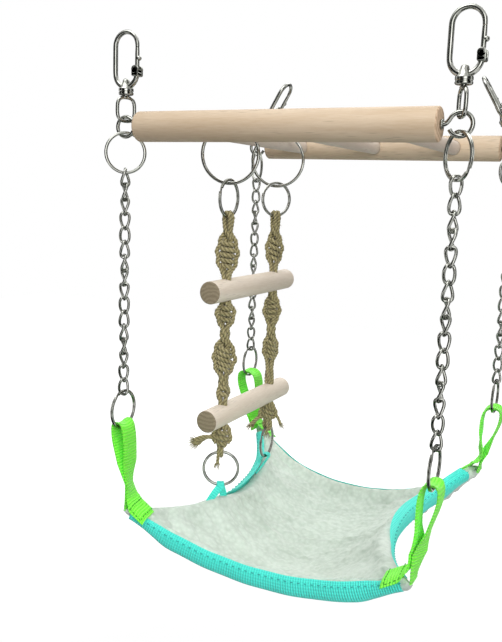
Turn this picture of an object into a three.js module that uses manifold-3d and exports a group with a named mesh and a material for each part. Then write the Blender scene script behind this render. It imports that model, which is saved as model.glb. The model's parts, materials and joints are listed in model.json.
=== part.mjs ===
// Hanging bridge with a fleece hammock and a rope ladder, for small pets.
// Millimetres, +Z up, X along the bridge, front at -Y.
// The origin is midway between the four snap hooks, at the height where the upright hooks bear.
import * as THREE from 'three';
import { mergeVertices } from 'three/addons/utils/BufferGeometryUtils.js';
import Module from 'manifold-3d';

const wasm = await Module();
wasm.setup();

// Fits
const clearance = 0.3;
const loopRoom = 1.2;

// Bridge: two rails and the rungs between them
const railDiameter = 18;
const railLength = 183;
const railSpacing = 180;
const railEndBevel = 1;
const rungDiameter = 10;
const rungCount = 3;
const rungEndInset = 32.5;
const rungSocketDepth = 9;

// Screw eyes in the rail ends
const eyeWire = 2.4;
const eyeInnerDiameter = 9.6;
const eyeNeck = 2.8;
const eyeShankDiameter = 3;
const eyeShankLength = 16;

// Snap hooks: swivel eye, looped body and sprung gate
const swivelWire = 2.2;
const swivelInnerLength = 11.8;
const swivelInnerWidth = 9;
const swivelPostDiameter = 3;
const swivelHeadDiameter = 5;
const swivelHeadHeight = 1.6;
const swivelYaw = 60;
const barrelDiameter = 9;
const barrelLip = 1.2;
const barrelCap = 1.4;
const hookWire = 3;
const hookInnerWidth = 13;
const hookStraight = 16;
const hookNose = 1;
const gateDiameter = 2.6;
const gatePinDiameter = 2;
const gateEarThickness = 1.5;
const gateEarWidth = 4.6;
const gateEarRise = 3.4;
const hookYaw = { front: 0, back: 90 };
const hookLean = { front: 0, back: 30 };

// Rings of round wire
const ringWire = 2;
const ringDiameter = 26;
const cornerRingYaw = 45;
const strapRingYaw = 90;

// Chains of twisted links
const linkWire = 1.8;
const linkInnerLength = 8.6;
const linkInnerWidth = 3.8;
const linkSeat = 0.25;
const linkCount = 16;
const linkTwist = 45;
const chainHalfTurns = 2;

// Webbing straps from the chains to the hammock's corners
const strapWidth = 14;
const strapThickness = 1.6;
const strapEyeWidth = 6;
const strapDrop = 50;
const strapLean = 11;

// Hammock: fleece bed and its edge tapes
const fleeceThickness = 7;
const fleeceCornerReach = 6;
const fleeceEndPull = 35.5;
const fleeceSidePull = 10;
const fleeceLengthSag = 26;
const fleeceWidthSag = 14;
const tapeThickness = 3;
const tapeWidth = 12;
const tapeEndGap = 10;

// Rope ladder under the first rung
const bigRingDiameter = 40;
const bigRingWire = 2.2;
const bigRingYaw = 15;
const ropeRingYaw = { front: 89, back: 60 };
const tieRingYaw = { front: 27, back: 93 };
const ladderOffset = 3;
const ladderRungDiameter = 15;
const ladderRungLength = 118;
const ladderRungBevel = 0.8;
const ladderFirstDrop = 102;
const ladderRungPitch = 86.5;
const ropeSpacing = 73;
const ropeHoleDiameter = 6;
const ropeStrand = 3.2;
const ropeKnots = {
  top: [{ at: 0.5, half: 0.44, diameter: 15 }],
  middle: [
    { at: 0.15, half: 0.14, diameter: 13.4 },
    { at: 0.54, half: 0.24, diameter: 15 },
    { at: 0.88, half: 0.11, diameter: 10 },
  ],
  bottom: [{ at: 0.45, half: 0.45, diameter: 14 }],
};

// Narrow loops that tie the ladder to the hammock's left edge
const tieLoopWidth = 6;
const tieLoopThickness = 1.2;
const tieLoopEyeWidth = 4.6;
const tieLoopHeight = 15;

// Facets
const roundSides = 24;
const smallRoundSides = 10;
const wireSides = 5;
const ringSteps = 16;
const linkSides = 4;
const linkSteps = 8;
const hookSteps = 5;
const hookSides = 6;
const fleeceSteps = { length: 20, width: 12 };
const ropeSides = 8;
const ropeRingPitch = 5;

// Levels, from the rails' axes down
const railRadius = railDiameter / 2;
const eyeRadius = (eyeInnerDiameter + eyeWire) / 2;
const eyeOffset = eyeRadius + eyeWire / 2 + eyeNeck;
const eyeX = railLength / 2 + eyeOffset;
const ringRadius = (ringDiameter - ringWire) / 2;
const cornerRingTop = -eyeRadius + (eyeWire + ringWire) / 2 + clearance;
const cornerRingBottom = cornerRingTop - 2 * ringRadius;
const linkHalfLength = (linkInnerLength + linkWire) / 2;
const linkHalfWidth = (linkInnerWidth + linkWire) / 2;
const linkPitch = linkInnerLength + linkSeat;
const firstLinkZ = cornerRingBottom + (ringWire + linkWire) / 2 + clearance - linkHalfLength;
const lastLinkZ = firstLinkZ - (linkCount - 1) * linkPitch;
const strapRingTop = lastLinkZ - linkHalfLength + (ringWire + linkWire) / 2 + clearance;
const strapRingBottom = strapRingTop - 2 * ringRadius;
const fleeceCornerZ = strapRingBottom - strapDrop - fleeceThickness / 2;

const swivelHalfLength = (swivelInnerLength + swivelWire) / 2;
const swivelHalfWidth = (swivelInnerWidth + swivelWire) / 2;
const swivelBottom = eyeRadius - (eyeWire + swivelWire) / 2 - clearance;
const barrelBottom = 2 * swivelHalfLength + swivelWire / 2 + clearance;
const chamberHeight = swivelHeadHeight + 2 * clearance;
const barrelHeight = barrelLip + chamberHeight + barrelCap;
const hookRadius = (hookInnerWidth + hookWire) / 2;
const hookLowArcZ = barrelHeight + hookRadius;
const hookHighArcZ = hookLowArcZ + hookStraight;
const hookBearing = barrelBottom + hookHighArcZ + hookRadius - hookWire / 2;
const hangHeight = swivelBottom + hookBearing;

const rungPitch = (railLength - 2 * rungEndInset) / (rungCount - 1);
const ladderX = -railLength / 2 + rungEndInset;
const bigRingRadius = (bigRingDiameter - bigRingWire) / 2;
const bigRingTop = rungDiameter / 2 + bigRingWire / 2 + clearance;
const bigRingBottom = bigRingTop - 2 * bigRingRadius;
const ropeRingTop = bigRingBottom + (bigRingWire + ringWire) / 2 + clearance;
const ropeRingBottom = ropeRingTop - 2 * ringRadius;
const upperRungZ = -ladderFirstDrop;
const lowerRungZ = upperRungZ - ladderRungPitch;

const fleeceHalfLength = eyeX - strapLean + fleeceCornerReach;
const fleeceHalfWidth = (railSpacing + strapWidth) / 2 - clearance;

// Finishes
const finish = (color, roughness, metalness) => new THREE.MeshStandardMaterial({ color, roughness, metalness });
const beech = finish(0xe3c3a2, 0.62, 0);
const paleBeech = finish(0xe6c9b2, 0.6, 0);
const nickel = finish(0xb9b6ae, 0.22, 1);
const jute = finish(0x9a8350, 0.95, 0);
const greenWebbing = finish(0x55e01c, 0.8, 0);
const cyanTape = finish(0x3fd3d6, 0.75, 0);
const fleece = finish(0xe9ebe2, 1, 0);

// Joining and cutting
function solidOf(geometry) {
  const bare = geometry.clone();
  bare.deleteAttribute('normal');
  bare.deleteAttribute('uv');
  const merged = mergeVertices(bare, 1e-4);
  return new wasm.Manifold(new wasm.Mesh({
    numProp: 3,
    vertProperties: new Float32Array(merged.attributes.position.array),
    triVerts: new Uint32Array(merged.index.array),
  }));
}

function geometryOf(solid) {
  const mesh = solid.getMesh();
  const geometry = new THREE.BufferGeometry();
  geometry.setAttribute('position', new THREE.BufferAttribute(new Float32Array(mesh.vertProperties), 3));
  geometry.setIndex(new THREE.BufferAttribute(new Uint32Array(mesh.triVerts), 1));
  geometry.computeVertexNormals();
  return geometry;
}

function joined(...geometries) {
  return geometryOf(geometries.map(solidOf).reduce((whole, piece) => whole.add(piece)));
}

function cut(body, ...tools) {
  return geometryOf(tools.map(solidOf).reduce((whole, tool) => whole.subtract(tool), solidOf(body)));
}

// Basic shapes
const radians = THREE.MathUtils.degToRad;

function rod(radius, from, to, sides = smallRoundSides) {
  const along = new THREE.Vector3().subVectors(to, from);
  const geometry = new THREE.CylinderGeometry(radius, radius, along.length(), sides);
  const turn = new THREE.Quaternion().setFromUnitVectors(new THREE.Vector3(0, 1, 0), along.clone().normalize());
  geometry.applyQuaternion(turn);
  geometry.translate(...new THREE.Vector3().addVectors(from, to).multiplyScalar(0.5).toArray());
  return geometry;
}

function dowel(radius, length, bevel) {
  const profile = [
    new THREE.Vector2(0, -length / 2),
    new THREE.Vector2(radius - bevel, -length / 2),
    new THREE.Vector2(radius, -length / 2 + bevel),
    new THREE.Vector2(radius, length / 2 - bevel),
    new THREE.Vector2(radius - bevel, length / 2),
    new THREE.Vector2(0, length / 2),
  ];
  return new THREE.LatheGeometry(profile, roundSides);
}

// An upright ring whose wire runs along the yaw direction at its top and bottom
function uprightRing(radius, wire, yaw, topZ) {
  const geometry = new THREE.TorusGeometry(radius, wire / 2, wireSides, ringSteps);
  geometry.rotateX(Math.PI / 2);
  geometry.rotateZ(radians(yaw));
  geometry.translate(0, 0, topZ - radius);
  return geometry;
}

// A closed wire bent to a centre line, from a torus whose two angles are read from its uv
function bentWire(centreAt, wire, sides, steps) {
  const geometry = new THREE.TorusGeometry(1, 0.5, sides, steps);
  const position = geometry.attributes.position;
  const uv = geometry.attributes.uv;
  const up = new THREE.Vector3();
  for (let i = 0; i < position.count; i += 1) {
    const along = uv.getX(i) * 2 * Math.PI;
    const around = uv.getY(i) * 2 * Math.PI;
    const centre = centreAt(along);
    const step = 0.01;
    const tangent = centreAt(along + step).sub(centreAt(along - step)).normalize();
    const outward = centre.clone().addScaledVector(tangent, -centre.dot(tangent)).normalize();
    up.crossVectors(outward, tangent);
    const place = centre
      .addScaledVector(outward, Math.cos(around) * wire / 2)
      .addScaledVector(up, Math.sin(around) * wire / 2);
    position.setXYZ(i, place.x, place.y, place.z);
  }
  return geometry;
}

// A long round-cornered loop of wire in its own XZ plane, turned about Z by twist from end to end
function linkLoop(halfWidth, halfLength, wire, twist, sides, steps) {
  const squareness = 2 / 3;
  const soften = (value) => Math.sign(value) * Math.abs(value) ** squareness;
  const centreAt = (angle) => {
    const across = soften(Math.cos(angle)) * halfWidth;
    const along = soften(Math.sin(angle)) * halfLength;
    const turn = radians(twist) * along / halfLength;
    return new THREE.Vector3(across * Math.cos(turn), across * Math.sin(turn), along);
  };
  return bentWire(centreAt, wire, sides, steps);
}

// A strap sewn into a teardrop: rounded over the wire at the top, closed flat at the foot.
// It lies in its own XZ plane, its inner top at z = 0 and its foot at z = -drop, and is wide along Y.
function teardrop(eyeWidth, thickness, width, drop) {
  const outer = new THREE.Shape();
  const half = eyeWidth / 2 + thickness;
  outer.moveTo(-thickness, -drop);
  outer.lineTo(thickness, -drop);
  outer.lineTo(half, -half);
  outer.absarc(0, -half + thickness, half, 0, Math.PI, false);
  outer.lineTo(-thickness, -drop);
  const inner = new THREE.Path();
  const bore = eyeWidth / 2;
  const crotch = -drop + Math.max(drop * 0.25, 2 * thickness);
  inner.moveTo(0, crotch);
  inner.lineTo(-bore, -bore);
  inner.absarc(0, -bore, bore, Math.PI, 0, true);
  inner.lineTo(0, crotch);
  outer.holes.push(inner);
  const geometry = new THREE.ExtrudeGeometry(outer, { depth: width, bevelEnabled: false, curveSegments: 8 });
  geometry.rotateX(Math.PI / 2);
  geometry.translate(0, width / 2, 0);
  return geometry;
}

const model = new THREE.Group();
const bridge = new THREE.Group();
bridge.position.z = -hangHeight;
model.add(bridge);

function place(name, geometry, material, parent, at = [0, 0, 0]) {
  const mesh = new THREE.Mesh(geometry, material);
  mesh.name = name;
  mesh.position.set(...at);
  parent.add(mesh);
  return mesh;
}

// Rails, with a socket for each rung and a pilot hole in each end
const sides = [{ side: 'front', sy: -1 }, { side: 'back', sy: 1 }];
const ends = [{ end: 'left', sx: -1 }, { end: 'right', sx: 1 }];
const rungXs = Array.from({ length: rungCount }, (_, i) => ladderX + i * rungPitch);
const rungReach = railSpacing / 2 - railRadius + rungSocketDepth;

function railGeometry(sy) {
  const wood = dowel(railRadius, railLength, railEndBevel);
  wood.rotateZ(Math.PI / 2);
  const socketFloor = sy * (rungReach + clearance - railSpacing / 2);
  const sockets = rungXs.map((x) => rod(
    rungDiameter / 2 + clearance,
    new THREE.Vector3(x, socketFloor, 0),
    new THREE.Vector3(x, -sy * railDiameter, 0),
  ));
  const pilots = ends.map(({ sx }) => rod(
    eyeShankDiameter / 2 + clearance,
    new THREE.Vector3(sx * (railLength / 2 - eyeShankLength - clearance), 0, 0),
    new THREE.Vector3(sx * railLength, 0, 0),
    smallRoundSides / 2,
  ));
  return cut(wood, ...sockets, ...pilots);
}

for (const { side, sy } of sides) {
  place(`rail_${side}`, railGeometry(sy), beech, bridge, [0, sy * railSpacing / 2, 0]);
}

rungXs.forEach((x, i) => {
  const geometry = rod(rungDiameter / 2, new THREE.Vector3(0, -rungReach, 0), new THREE.Vector3(0, rungReach, 0));
  place(`bridge_rung_${i + 1}`, geometry, paleBeech, bridge, [x, 0, 0]);
});

// Screw eye, its shank pointing along +X into the rail
function screwEyeGeometry() {
  const eye = new THREE.TorusGeometry(eyeRadius, eyeWire / 2, wireSides, ringSteps);
  eye.rotateX(Math.PI / 2);
  const shank = rod(
    eyeShankDiameter / 2,
    new THREE.Vector3(eyeRadius, 0, 0),
    new THREE.Vector3(eyeOffset + eyeShankLength, 0, 0),
    smallRoundSides / 2,
  );
  return joined(eye, shank);
}

// Swivel eye, its bottom wire at z = 0, with the headed post that the hook's barrel turns on
function swivelEyeGeometry(yaw) {
  const eye = linkLoop(swivelHalfWidth, swivelHalfLength, swivelWire, 0, wireSides, ringSteps);
  eye.rotateZ(radians(yaw));
  eye.translate(0, 0, swivelHalfLength);
  const headFloor = barrelBottom + barrelLip + clearance;
  const post = new THREE.LatheGeometry([
    new THREE.Vector2(0, 2 * swivelHalfLength),
    new THREE.Vector2(swivelPostDiameter / 2, 2 * swivelHalfLength),
    new THREE.Vector2(swivelPostDiameter / 2, headFloor),
    new THREE.Vector2(swivelHeadDiameter / 2, headFloor),
    new THREE.Vector2(swivelHeadDiameter / 2, headFloor + swivelHeadHeight),
    new THREE.Vector2(0, headFloor + swivelHeadHeight),
  ], smallRoundSides);
  post.rotateX(Math.PI / 2);
  return joined(eye, post);
}

// Hook body in its own XZ plane, from its barrel's underside at z = 0
const gatePivotZ = hookLowArcZ + gateEarRise - hookWire / 2;
const gateTopZ = hookHighArcZ - hookNose - clearance;

function hookGeometry() {
  const boreRadius = swivelPostDiameter / 2 + clearance;
  const chamberRadius = swivelHeadDiameter / 2 + clearance;
  const barrel = new THREE.LatheGeometry([
    new THREE.Vector2(boreRadius, 0),
    new THREE.Vector2(barrelDiameter / 2, 0),
    new THREE.Vector2(barrelDiameter / 2, barrelHeight),
    new THREE.Vector2(0, barrelHeight),
    new THREE.Vector2(0, barrelLip + chamberHeight),
    new THREE.Vector2(chamberRadius, barrelLip + chamberHeight),
    new THREE.Vector2(chamberRadius, barrelLip),
    new THREE.Vector2(boreRadius, barrelLip),
    new THREE.Vector2(boreRadius, 0),
  ], smallRoundSides);
  barrel.rotateX(Math.PI / 2);
  const line = new THREE.CurvePath();
  const arcAt = (centreZ, fromAngle, toAngle) => Array.from({ length: hookSteps + 1 }, (_, i) => {
    const angle = fromAngle + (toAngle - fromAngle) * i / hookSteps;
    return new THREE.Vector3(hookRadius * Math.cos(angle), 0, centreZ + hookRadius * Math.sin(angle));
  });
  const stops = [
    ...arcAt(hookLowArcZ, 0, -Math.PI),
    ...arcAt(hookHighArcZ, Math.PI, 0),
    new THREE.Vector3(hookRadius, 0, hookHighArcZ - hookNose),
  ];
  for (let i = 1; i < stops.length; i += 1) {
    line.add(new THREE.LineCurve3(stops[i - 1], stops[i]));
  }
  const section = new THREE.Shape();
  section.absarc(0, 0, hookWire / 2, 0, 2 * Math.PI, false);
  const body = new THREE.ExtrudeGeometry(section, {
    steps: 4 * hookSteps,
    curveSegments: hookSides / 2,
    extrudePath: line,
  });
  const earGap = gateDiameter + 2 * clearance;
  const span = earGap + 2 * gateEarThickness;
  const foot = new THREE.BoxGeometry(gateEarWidth, span, hookWire);
  foot.translate(hookRadius, 0, hookLowArcZ - hookWire / 2);
  const ears = [-1, 1].map((sign) => {
    const ear = new THREE.BoxGeometry(gateEarWidth, gateEarThickness, gateEarRise + gateEarWidth / 2);
    ear.translate(hookRadius, sign * (earGap + gateEarThickness) / 2, gatePivotZ - gateEarRise / 2 + gateEarWidth / 4);
    return ear;
  });
  const pinHole = rod(
    gatePinDiameter / 2 + clearance,
    new THREE.Vector3(hookRadius, -span, gatePivotZ),
    new THREE.Vector3(hookRadius, span, gatePivotZ),
    smallRoundSides / 2,
  );
  return cut(joined(barrel, body, foot, ...ears), pinHole);
}

// Gate with its pin, the pin's axis at the origin and along Y
function gateGeometry() {
  const lever = rod(
    gateDiameter / 2,
    new THREE.Vector3(0, 0, -gateDiameter / 2),
    new THREE.Vector3(0, 0, gateTopZ - gatePivotZ),
    smallRoundSides / 2,
  );
  const pinReach = gateDiameter / 2 + clearance + gateEarThickness;
  const pin = rod(
    gatePinDiameter / 2,
    new THREE.Vector3(0, -pinReach, 0),
    new THREE.Vector3(0, pinReach, 0),
    smallRoundSides / 2,
  );
  return joined(lever, pin);
}

// A chain from its first link's centre down, its links bearing on one another
function chainGeometry(ringYaw) {
  const startYaw = ringYaw + 90 - linkTwist;
  const endYaw = strapRingYaw + 90 + linkTwist + 180 * chainHalfTurns;
  const turn = (endYaw - startYaw) / (linkCount - 1);
  const links = Array.from({ length: linkCount }, (_, i) => {
    const link = linkLoop(linkHalfWidth, linkHalfLength, linkWire, linkTwist, linkSides, linkSteps);
    link.rotateZ(radians(startYaw + i * turn));
    link.translate(0, 0, -i * linkPitch);
    return link;
  });
  return joined(...links);
}

// The fleece's middle surface, u along the bridge and v across it, each from -1 to 1
function fleeceAt(u, v) {
  return new THREE.Vector3(
    u * (fleeceHalfLength - fleeceEndPull * (1 - v * v)),
    v * (fleeceHalfWidth - fleeceSidePull * (1 - u * u)),
    fleeceCornerZ - fleeceLengthSag * (1 - u * u) - fleeceWidthSag * (1 - v * v),
  );
}

// The fleece's upper side at a point, or at its nearest edge where the point lies outside it
function fleeceTopAt(x, y) {
  const withinEdges = (share) => THREE.MathUtils.clamp(share, -1, 1);
  let u = withinEdges(x / fleeceHalfLength);
  let v = withinEdges(y / fleeceHalfWidth);
  for (let round = 0; round < 30; round += 1) {
    u = withinEdges(x / (fleeceHalfLength - fleeceEndPull * (1 - v * v)));
    v = withinEdges(y / (fleeceHalfWidth - fleeceSidePull * (1 - u * u)));
  }
  return fleeceAt(u, v).z + fleeceThickness / 2;
}

// The highest point of the fleece under a rectangle
function fleeceTopUnder(x, y, halfX, halfY) {
  const shares = [-1, -0.5, 0, 0.5, 1];
  const heights = shares.flatMap((i) => shares.map((j) => fleeceTopAt(x + i * halfX, y + j * halfY)));
  return Math.max(...heights);
}

// A box whose points are moved one by one
function bentBox(segments, pointAt) {
  const geometry = new THREE.BoxGeometry(2, 2, 2, ...segments);
  const position = geometry.attributes.position;
  for (let i = 0; i < position.count; i += 1) {
    const place = pointAt(position.getX(i), position.getY(i), position.getZ(i));
    position.setXYZ(i, place.x, place.y, place.z);
  }
  return geometry;
}

function fleeceGeometry() {
  return bentBox([fleeceSteps.length, fleeceSteps.width, 1], (u, v, w) => {
    const middle = fleeceAt(u, v);
    middle.z += w * fleeceThickness / 2;
    return middle;
  });
}

// Tape along one edge of the fleece: edgeAt gives the edge for t from -1 to 1, outward its sideways direction
function tapeGeometry(edgeAt, outward, halfLength, endGap, steps) {
  const reach = 1 - endGap / halfLength;
  return bentBox([steps, 1, 1], (t, n, w) => {
    const middle = edgeAt(t * reach);
    middle.addScaledVector(outward, clearance + tapeThickness * (1 + n) / 2);
    middle.z += w * tapeWidth / 2;
    return middle;
  });
}

place('hammock_fleece', fleeceGeometry(), fleece, bridge);
for (const { side, sy } of sides) {
  const outward = new THREE.Vector3(0, sy, 0);
  const edgeAt = (t) => fleeceAt(sy * t, sy);
  const geometry = tapeGeometry(edgeAt, outward, fleeceHalfLength, tapeEndGap, fleeceSteps.length);
  place(`edge_tape_${side}`, geometry, cyanTape, bridge);
}
for (const { end, sx } of ends) {
  const outward = new THREE.Vector3(sx, 0, 0);
  const edgeAt = (t) => fleeceAt(sx, -sx * t);
  const geometry = tapeGeometry(edgeAt, outward, fleeceHalfWidth, strapWidth + clearance, fleeceSteps.width);
  place(`edge_tape_${end}`, geometry, cyanTape, bridge);
}

// One corner: hook above the screw eye, ring, chain, ring and strap below it
function buildCorner(side, sy, end, sx) {
  const corner = new THREE.Group();
  corner.position.set(sx * eyeX, sy * railSpacing / 2, 0);
  bridge.add(corner);
  const where = `${side}_${end}`;
  const hand = sx * sy;

  const eye = place(`screw_eye_${where}`, screwEyeGeometry(), nickel, corner);
  eye.rotation.z = sx > 0 ? Math.PI : 0;

  const hanger = new THREE.Group();
  hanger.position.z = swivelBottom;
  hanger.rotation.y = radians(-sx * hookLean[side]);
  corner.add(hanger);
  place(`swivel_eye_${where}`, swivelEyeGeometry(hand * swivelYaw), nickel, hanger);
  const hook = new THREE.Group();
  hook.position.z = barrelBottom;
  hook.rotation.z = radians(hookYaw[side]);
  hanger.add(hook);
  place(`snap_hook_${where}`, hookGeometry(), nickel, hook);
  place(`hook_gate_${where}`, gateGeometry(), nickel, hook, [hookRadius, 0, gatePivotZ]);

  const ringYaw = hand * cornerRingYaw;
  place(`corner_ring_${where}`, uprightRing(ringRadius, ringWire, ringYaw, cornerRingTop), nickel, corner);
  place(`chain_${where}`, chainGeometry(ringYaw), nickel, corner, [0, 0, firstLinkZ]);
  place(`strap_ring_${where}`, uprightRing(ringRadius, ringWire, strapRingYaw, strapRingTop), nickel, corner);

  const ringRise = ringRadius - Math.sqrt(ringRadius ** 2 - (strapWidth / 2) ** 2);
  const strapTop = ringWire / 2 + ringRise + loopRoom;
  const lean = Math.atan(strapLean / strapDrop);
  const floor = fleeceTopUnder(
    sx * (eyeX - strapLean),
    sy * railSpacing / 2,
    strapThickness / Math.cos(lean),
    strapWidth / 2,
  );
  const footZ = floor + clearance + strapThickness * Math.sin(lean);
  const strapLength = (strapRingBottom - footZ) / Math.cos(lean);
  const geometry = teardrop(strapEyeWidth, strapThickness, strapWidth, strapLength + strapTop);
  geometry.translate(0, 0, strapTop);
  const strap = place(`corner_strap_${where}`, geometry, greenWebbing, corner, [0, 0, strapRingBottom]);
  strap.rotation.y = sx * lean;
}

for (const { side, sy } of sides) {
  for (const { end, sx } of ends) {
    buildCorner(side, sy, end, sx);
  }
}

// Rope ladder
const ladder = new THREE.Group();
ladder.position.set(ladderX, ladderOffset, 0);
bridge.add(ladder);

function ladderRungGeometry() {
  const wood = dowel(ladderRungDiameter / 2, ladderRungLength, ladderRungBevel);
  const holes = [-1, 1].map((sign) => rod(
    ropeHoleDiameter / 2,
    new THREE.Vector3(0, sign * ropeSpacing / 2, -ladderRungDiameter),
    new THREE.Vector3(0, sign * ropeSpacing / 2, ladderRungDiameter),
  ));
  return cut(wood, ...holes);
}

place('ladder_rung_upper', ladderRungGeometry(), paleBeech, ladder, [0, 0, upperRungZ]);
place('ladder_rung_lower', ladderRungGeometry(), paleBeech, ladder, [0, 0, lowerRungZ]);

// The tie rings hang in loops whose feet stand on the fleece
function tieSeatAt(side, y) {
  const cos = Math.abs(Math.cos(radians(tieRingYaw[side])));
  const sin = Math.abs(Math.sin(radians(tieRingYaw[side])));
  const halfX = cos * tieLoopWidth / 2 + sin * tieLoopThickness;
  const halfY = sin * tieLoopWidth / 2 + cos * tieLoopThickness;
  return fleeceTopUnder(ladderX, ladderOffset + y, halfX, halfY) + clearance;
}

const tieSeats = sides.map(({ side, sy }) => tieSeatAt(side, sy * ropeSpacing / 2));
const tieRingBottom = Math.max(...tieSeats) + tieLoopHeight;
const tieRingTop = tieRingBottom + 2 * ringRadius;

// Knotted rope: a neck that fits the rungs' holes, swelling into knots between them
const ropeNeck = ropeHoleDiameter / 2 - clearance;
const ropeLoopRadius = (ringWire + ropeStrand) / 2 + clearance;
const ropeTopZ = ropeRingBottom - ropeLoopRadius;
const ropeBottomZ = tieRingTop + ropeLoopRadius;
const rungHalf = ladderRungDiameter / 2 + clearance;
const ropeSpans = [
  { from: ropeTopZ, to: upperRungZ + rungHalf, knots: ropeKnots.top },
  { from: upperRungZ - rungHalf, to: lowerRungZ + rungHalf, knots: ropeKnots.middle },
  { from: lowerRungZ - rungHalf, to: ropeBottomZ, knots: ropeKnots.bottom },
];

function ropeRadiusAt(share, knots) {
  const swells = knots.map(({ at, half, diameter }) => {
    const off = Math.min(1, Math.abs(share - at) / half);
    return (diameter / 2 - ropeNeck) * Math.cos(off * Math.PI / 2);
  });
  return ropeNeck + Math.max(...swells);
}

function ropeGeometry(topYaw, bottomYaw) {
  const profile = [new THREE.Vector2(0, ropeTopZ)];
  for (const { from, to, knots } of ropeSpans) {
    const count = Math.ceil((from - to) / ropeRingPitch);
    for (let i = 0; i <= count; i += 1) {
      profile.push(new THREE.Vector2(ropeRadiusAt(i / count, knots), from + (to - from) * i / count));
    }
  }
  profile.push(new THREE.Vector2(0, ropeBottomZ));
  profile.reverse();
  const rope = new THREE.LatheGeometry(profile, ropeSides);
  rope.rotateX(Math.PI / 2);
  const loops = [[topYaw, ropeRingBottom], [bottomYaw, tieRingTop]].map(([yaw, z]) => {
    const loop = new THREE.TorusGeometry(ropeLoopRadius, ropeStrand / 2, wireSides, ringSteps / 2);
    loop.rotateX(Math.PI / 2);
    loop.rotateZ(radians(yaw + 90));
    loop.translate(0, 0, z);
    return loop;
  });
  return joined(rope, ...loops);
}

// Loops that hold the ladder's lowest rings
function tieLoop(side, y) {
  const ringRise = ringRadius - Math.sqrt(ringRadius ** 2 - (tieLoopWidth / 2) ** 2);
  const top = tieRingBottom + ringWire / 2 + ringRise + loopRoom;
  const drop = top - tieSeatAt(side, y);
  const geometry = teardrop(tieLoopEyeWidth, tieLoopThickness, tieLoopWidth, drop);
  const loop = place(`ladder_loop_${side}`, geometry, cyanTape, ladder, [0, y, top]);
  loop.rotation.z = radians(tieRingYaw[side] - 90);
}

for (const { side, sy } of sides) {
  const y = sy * ropeSpacing / 2;
  const at = [0, y, 0];
  place(`ladder_ring_${side}`, uprightRing(bigRingRadius, bigRingWire, bigRingYaw, bigRingTop), nickel, ladder, at);
  place(`rope_ring_${side}`, uprightRing(ringRadius, ringWire, ropeRingYaw[side], ropeRingTop), nickel, ladder, at);
  place(`ladder_rope_${side}`, ropeGeometry(ropeRingYaw[side], tieRingYaw[side]), jute, ladder, at);
  place(`tie_ring_${side}`, uprightRing(ringRadius, ringWire, tieRingYaw[side], tieRingTop), nickel, ladder, at);
  tieLoop(side, y);
}

export default model;
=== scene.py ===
import json
import math
import random

import bpy
from mathutils import Matrix, Vector, noise


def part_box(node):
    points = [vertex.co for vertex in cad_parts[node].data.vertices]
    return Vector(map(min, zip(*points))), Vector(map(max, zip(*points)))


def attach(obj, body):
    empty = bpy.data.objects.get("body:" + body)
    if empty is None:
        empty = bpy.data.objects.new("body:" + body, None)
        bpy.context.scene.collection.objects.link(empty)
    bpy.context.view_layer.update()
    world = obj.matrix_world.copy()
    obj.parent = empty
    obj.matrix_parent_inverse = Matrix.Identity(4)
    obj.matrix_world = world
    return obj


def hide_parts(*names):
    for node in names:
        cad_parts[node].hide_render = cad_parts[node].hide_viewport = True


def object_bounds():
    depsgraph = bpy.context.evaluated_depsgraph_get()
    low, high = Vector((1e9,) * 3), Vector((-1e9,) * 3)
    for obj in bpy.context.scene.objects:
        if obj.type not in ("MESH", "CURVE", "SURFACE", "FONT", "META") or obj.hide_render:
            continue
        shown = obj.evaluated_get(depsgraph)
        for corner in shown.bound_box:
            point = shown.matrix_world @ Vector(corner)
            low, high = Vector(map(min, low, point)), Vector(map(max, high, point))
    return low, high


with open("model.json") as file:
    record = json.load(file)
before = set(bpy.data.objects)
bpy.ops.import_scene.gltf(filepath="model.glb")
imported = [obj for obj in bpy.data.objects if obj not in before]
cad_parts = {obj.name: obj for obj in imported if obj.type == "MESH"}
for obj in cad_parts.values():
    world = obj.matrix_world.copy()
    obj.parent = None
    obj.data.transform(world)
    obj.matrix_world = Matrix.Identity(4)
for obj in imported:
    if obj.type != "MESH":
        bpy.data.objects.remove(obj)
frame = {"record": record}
cadLow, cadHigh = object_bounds()
record = frame["record"]
bodyOf = {node: body for body, members in record["behaviour"]["bodies"].items() for node in members}
sides = {"front": -1, "back": 1}
ends = {"left": -1, "right": 1}
corners = [(side, end) for side in sides for end in ends]
mm = 0.001
upward = Vector((0, 0, 1))


# Small helpers
def middleOf(node):
    low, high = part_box(node)
    return (low + high) / 2


def clamp(share):
    return min(max(share, 0), 1)


def eased(share):
    share = clamp(share)
    return share * share * (3 - 2 * share)


def deselect():
    if bpy.context.object and bpy.context.object.mode != "OBJECT":
        bpy.ops.object.mode_set(mode="OBJECT")
    bpy.ops.object.select_all(action="DESELECT")


def pick(piece):
    deselect()
    piece.select_set(True)
    bpy.context.view_layer.objects.active = piece


def applyPlace():
    bpy.ops.object.transform_apply(location=True, rotation=True, scale=True)


def degrees(*turns):
    return [math.radians(turn) for turn in turns]


# Camera at the photograph's viewing angle, from the left end of the front rail
view = {
    "fromRailEnd": (282.0, -398.5, -38.1),  # mm
    "yaw": 26.818,
    "pitch": 9.251,
    "roll": 2.046,
    "focal": 776.14,  # pixels
    "imageHeight": 642,
    "sensor": 36,  # mm
    "nearest": 0.01,
}


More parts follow.
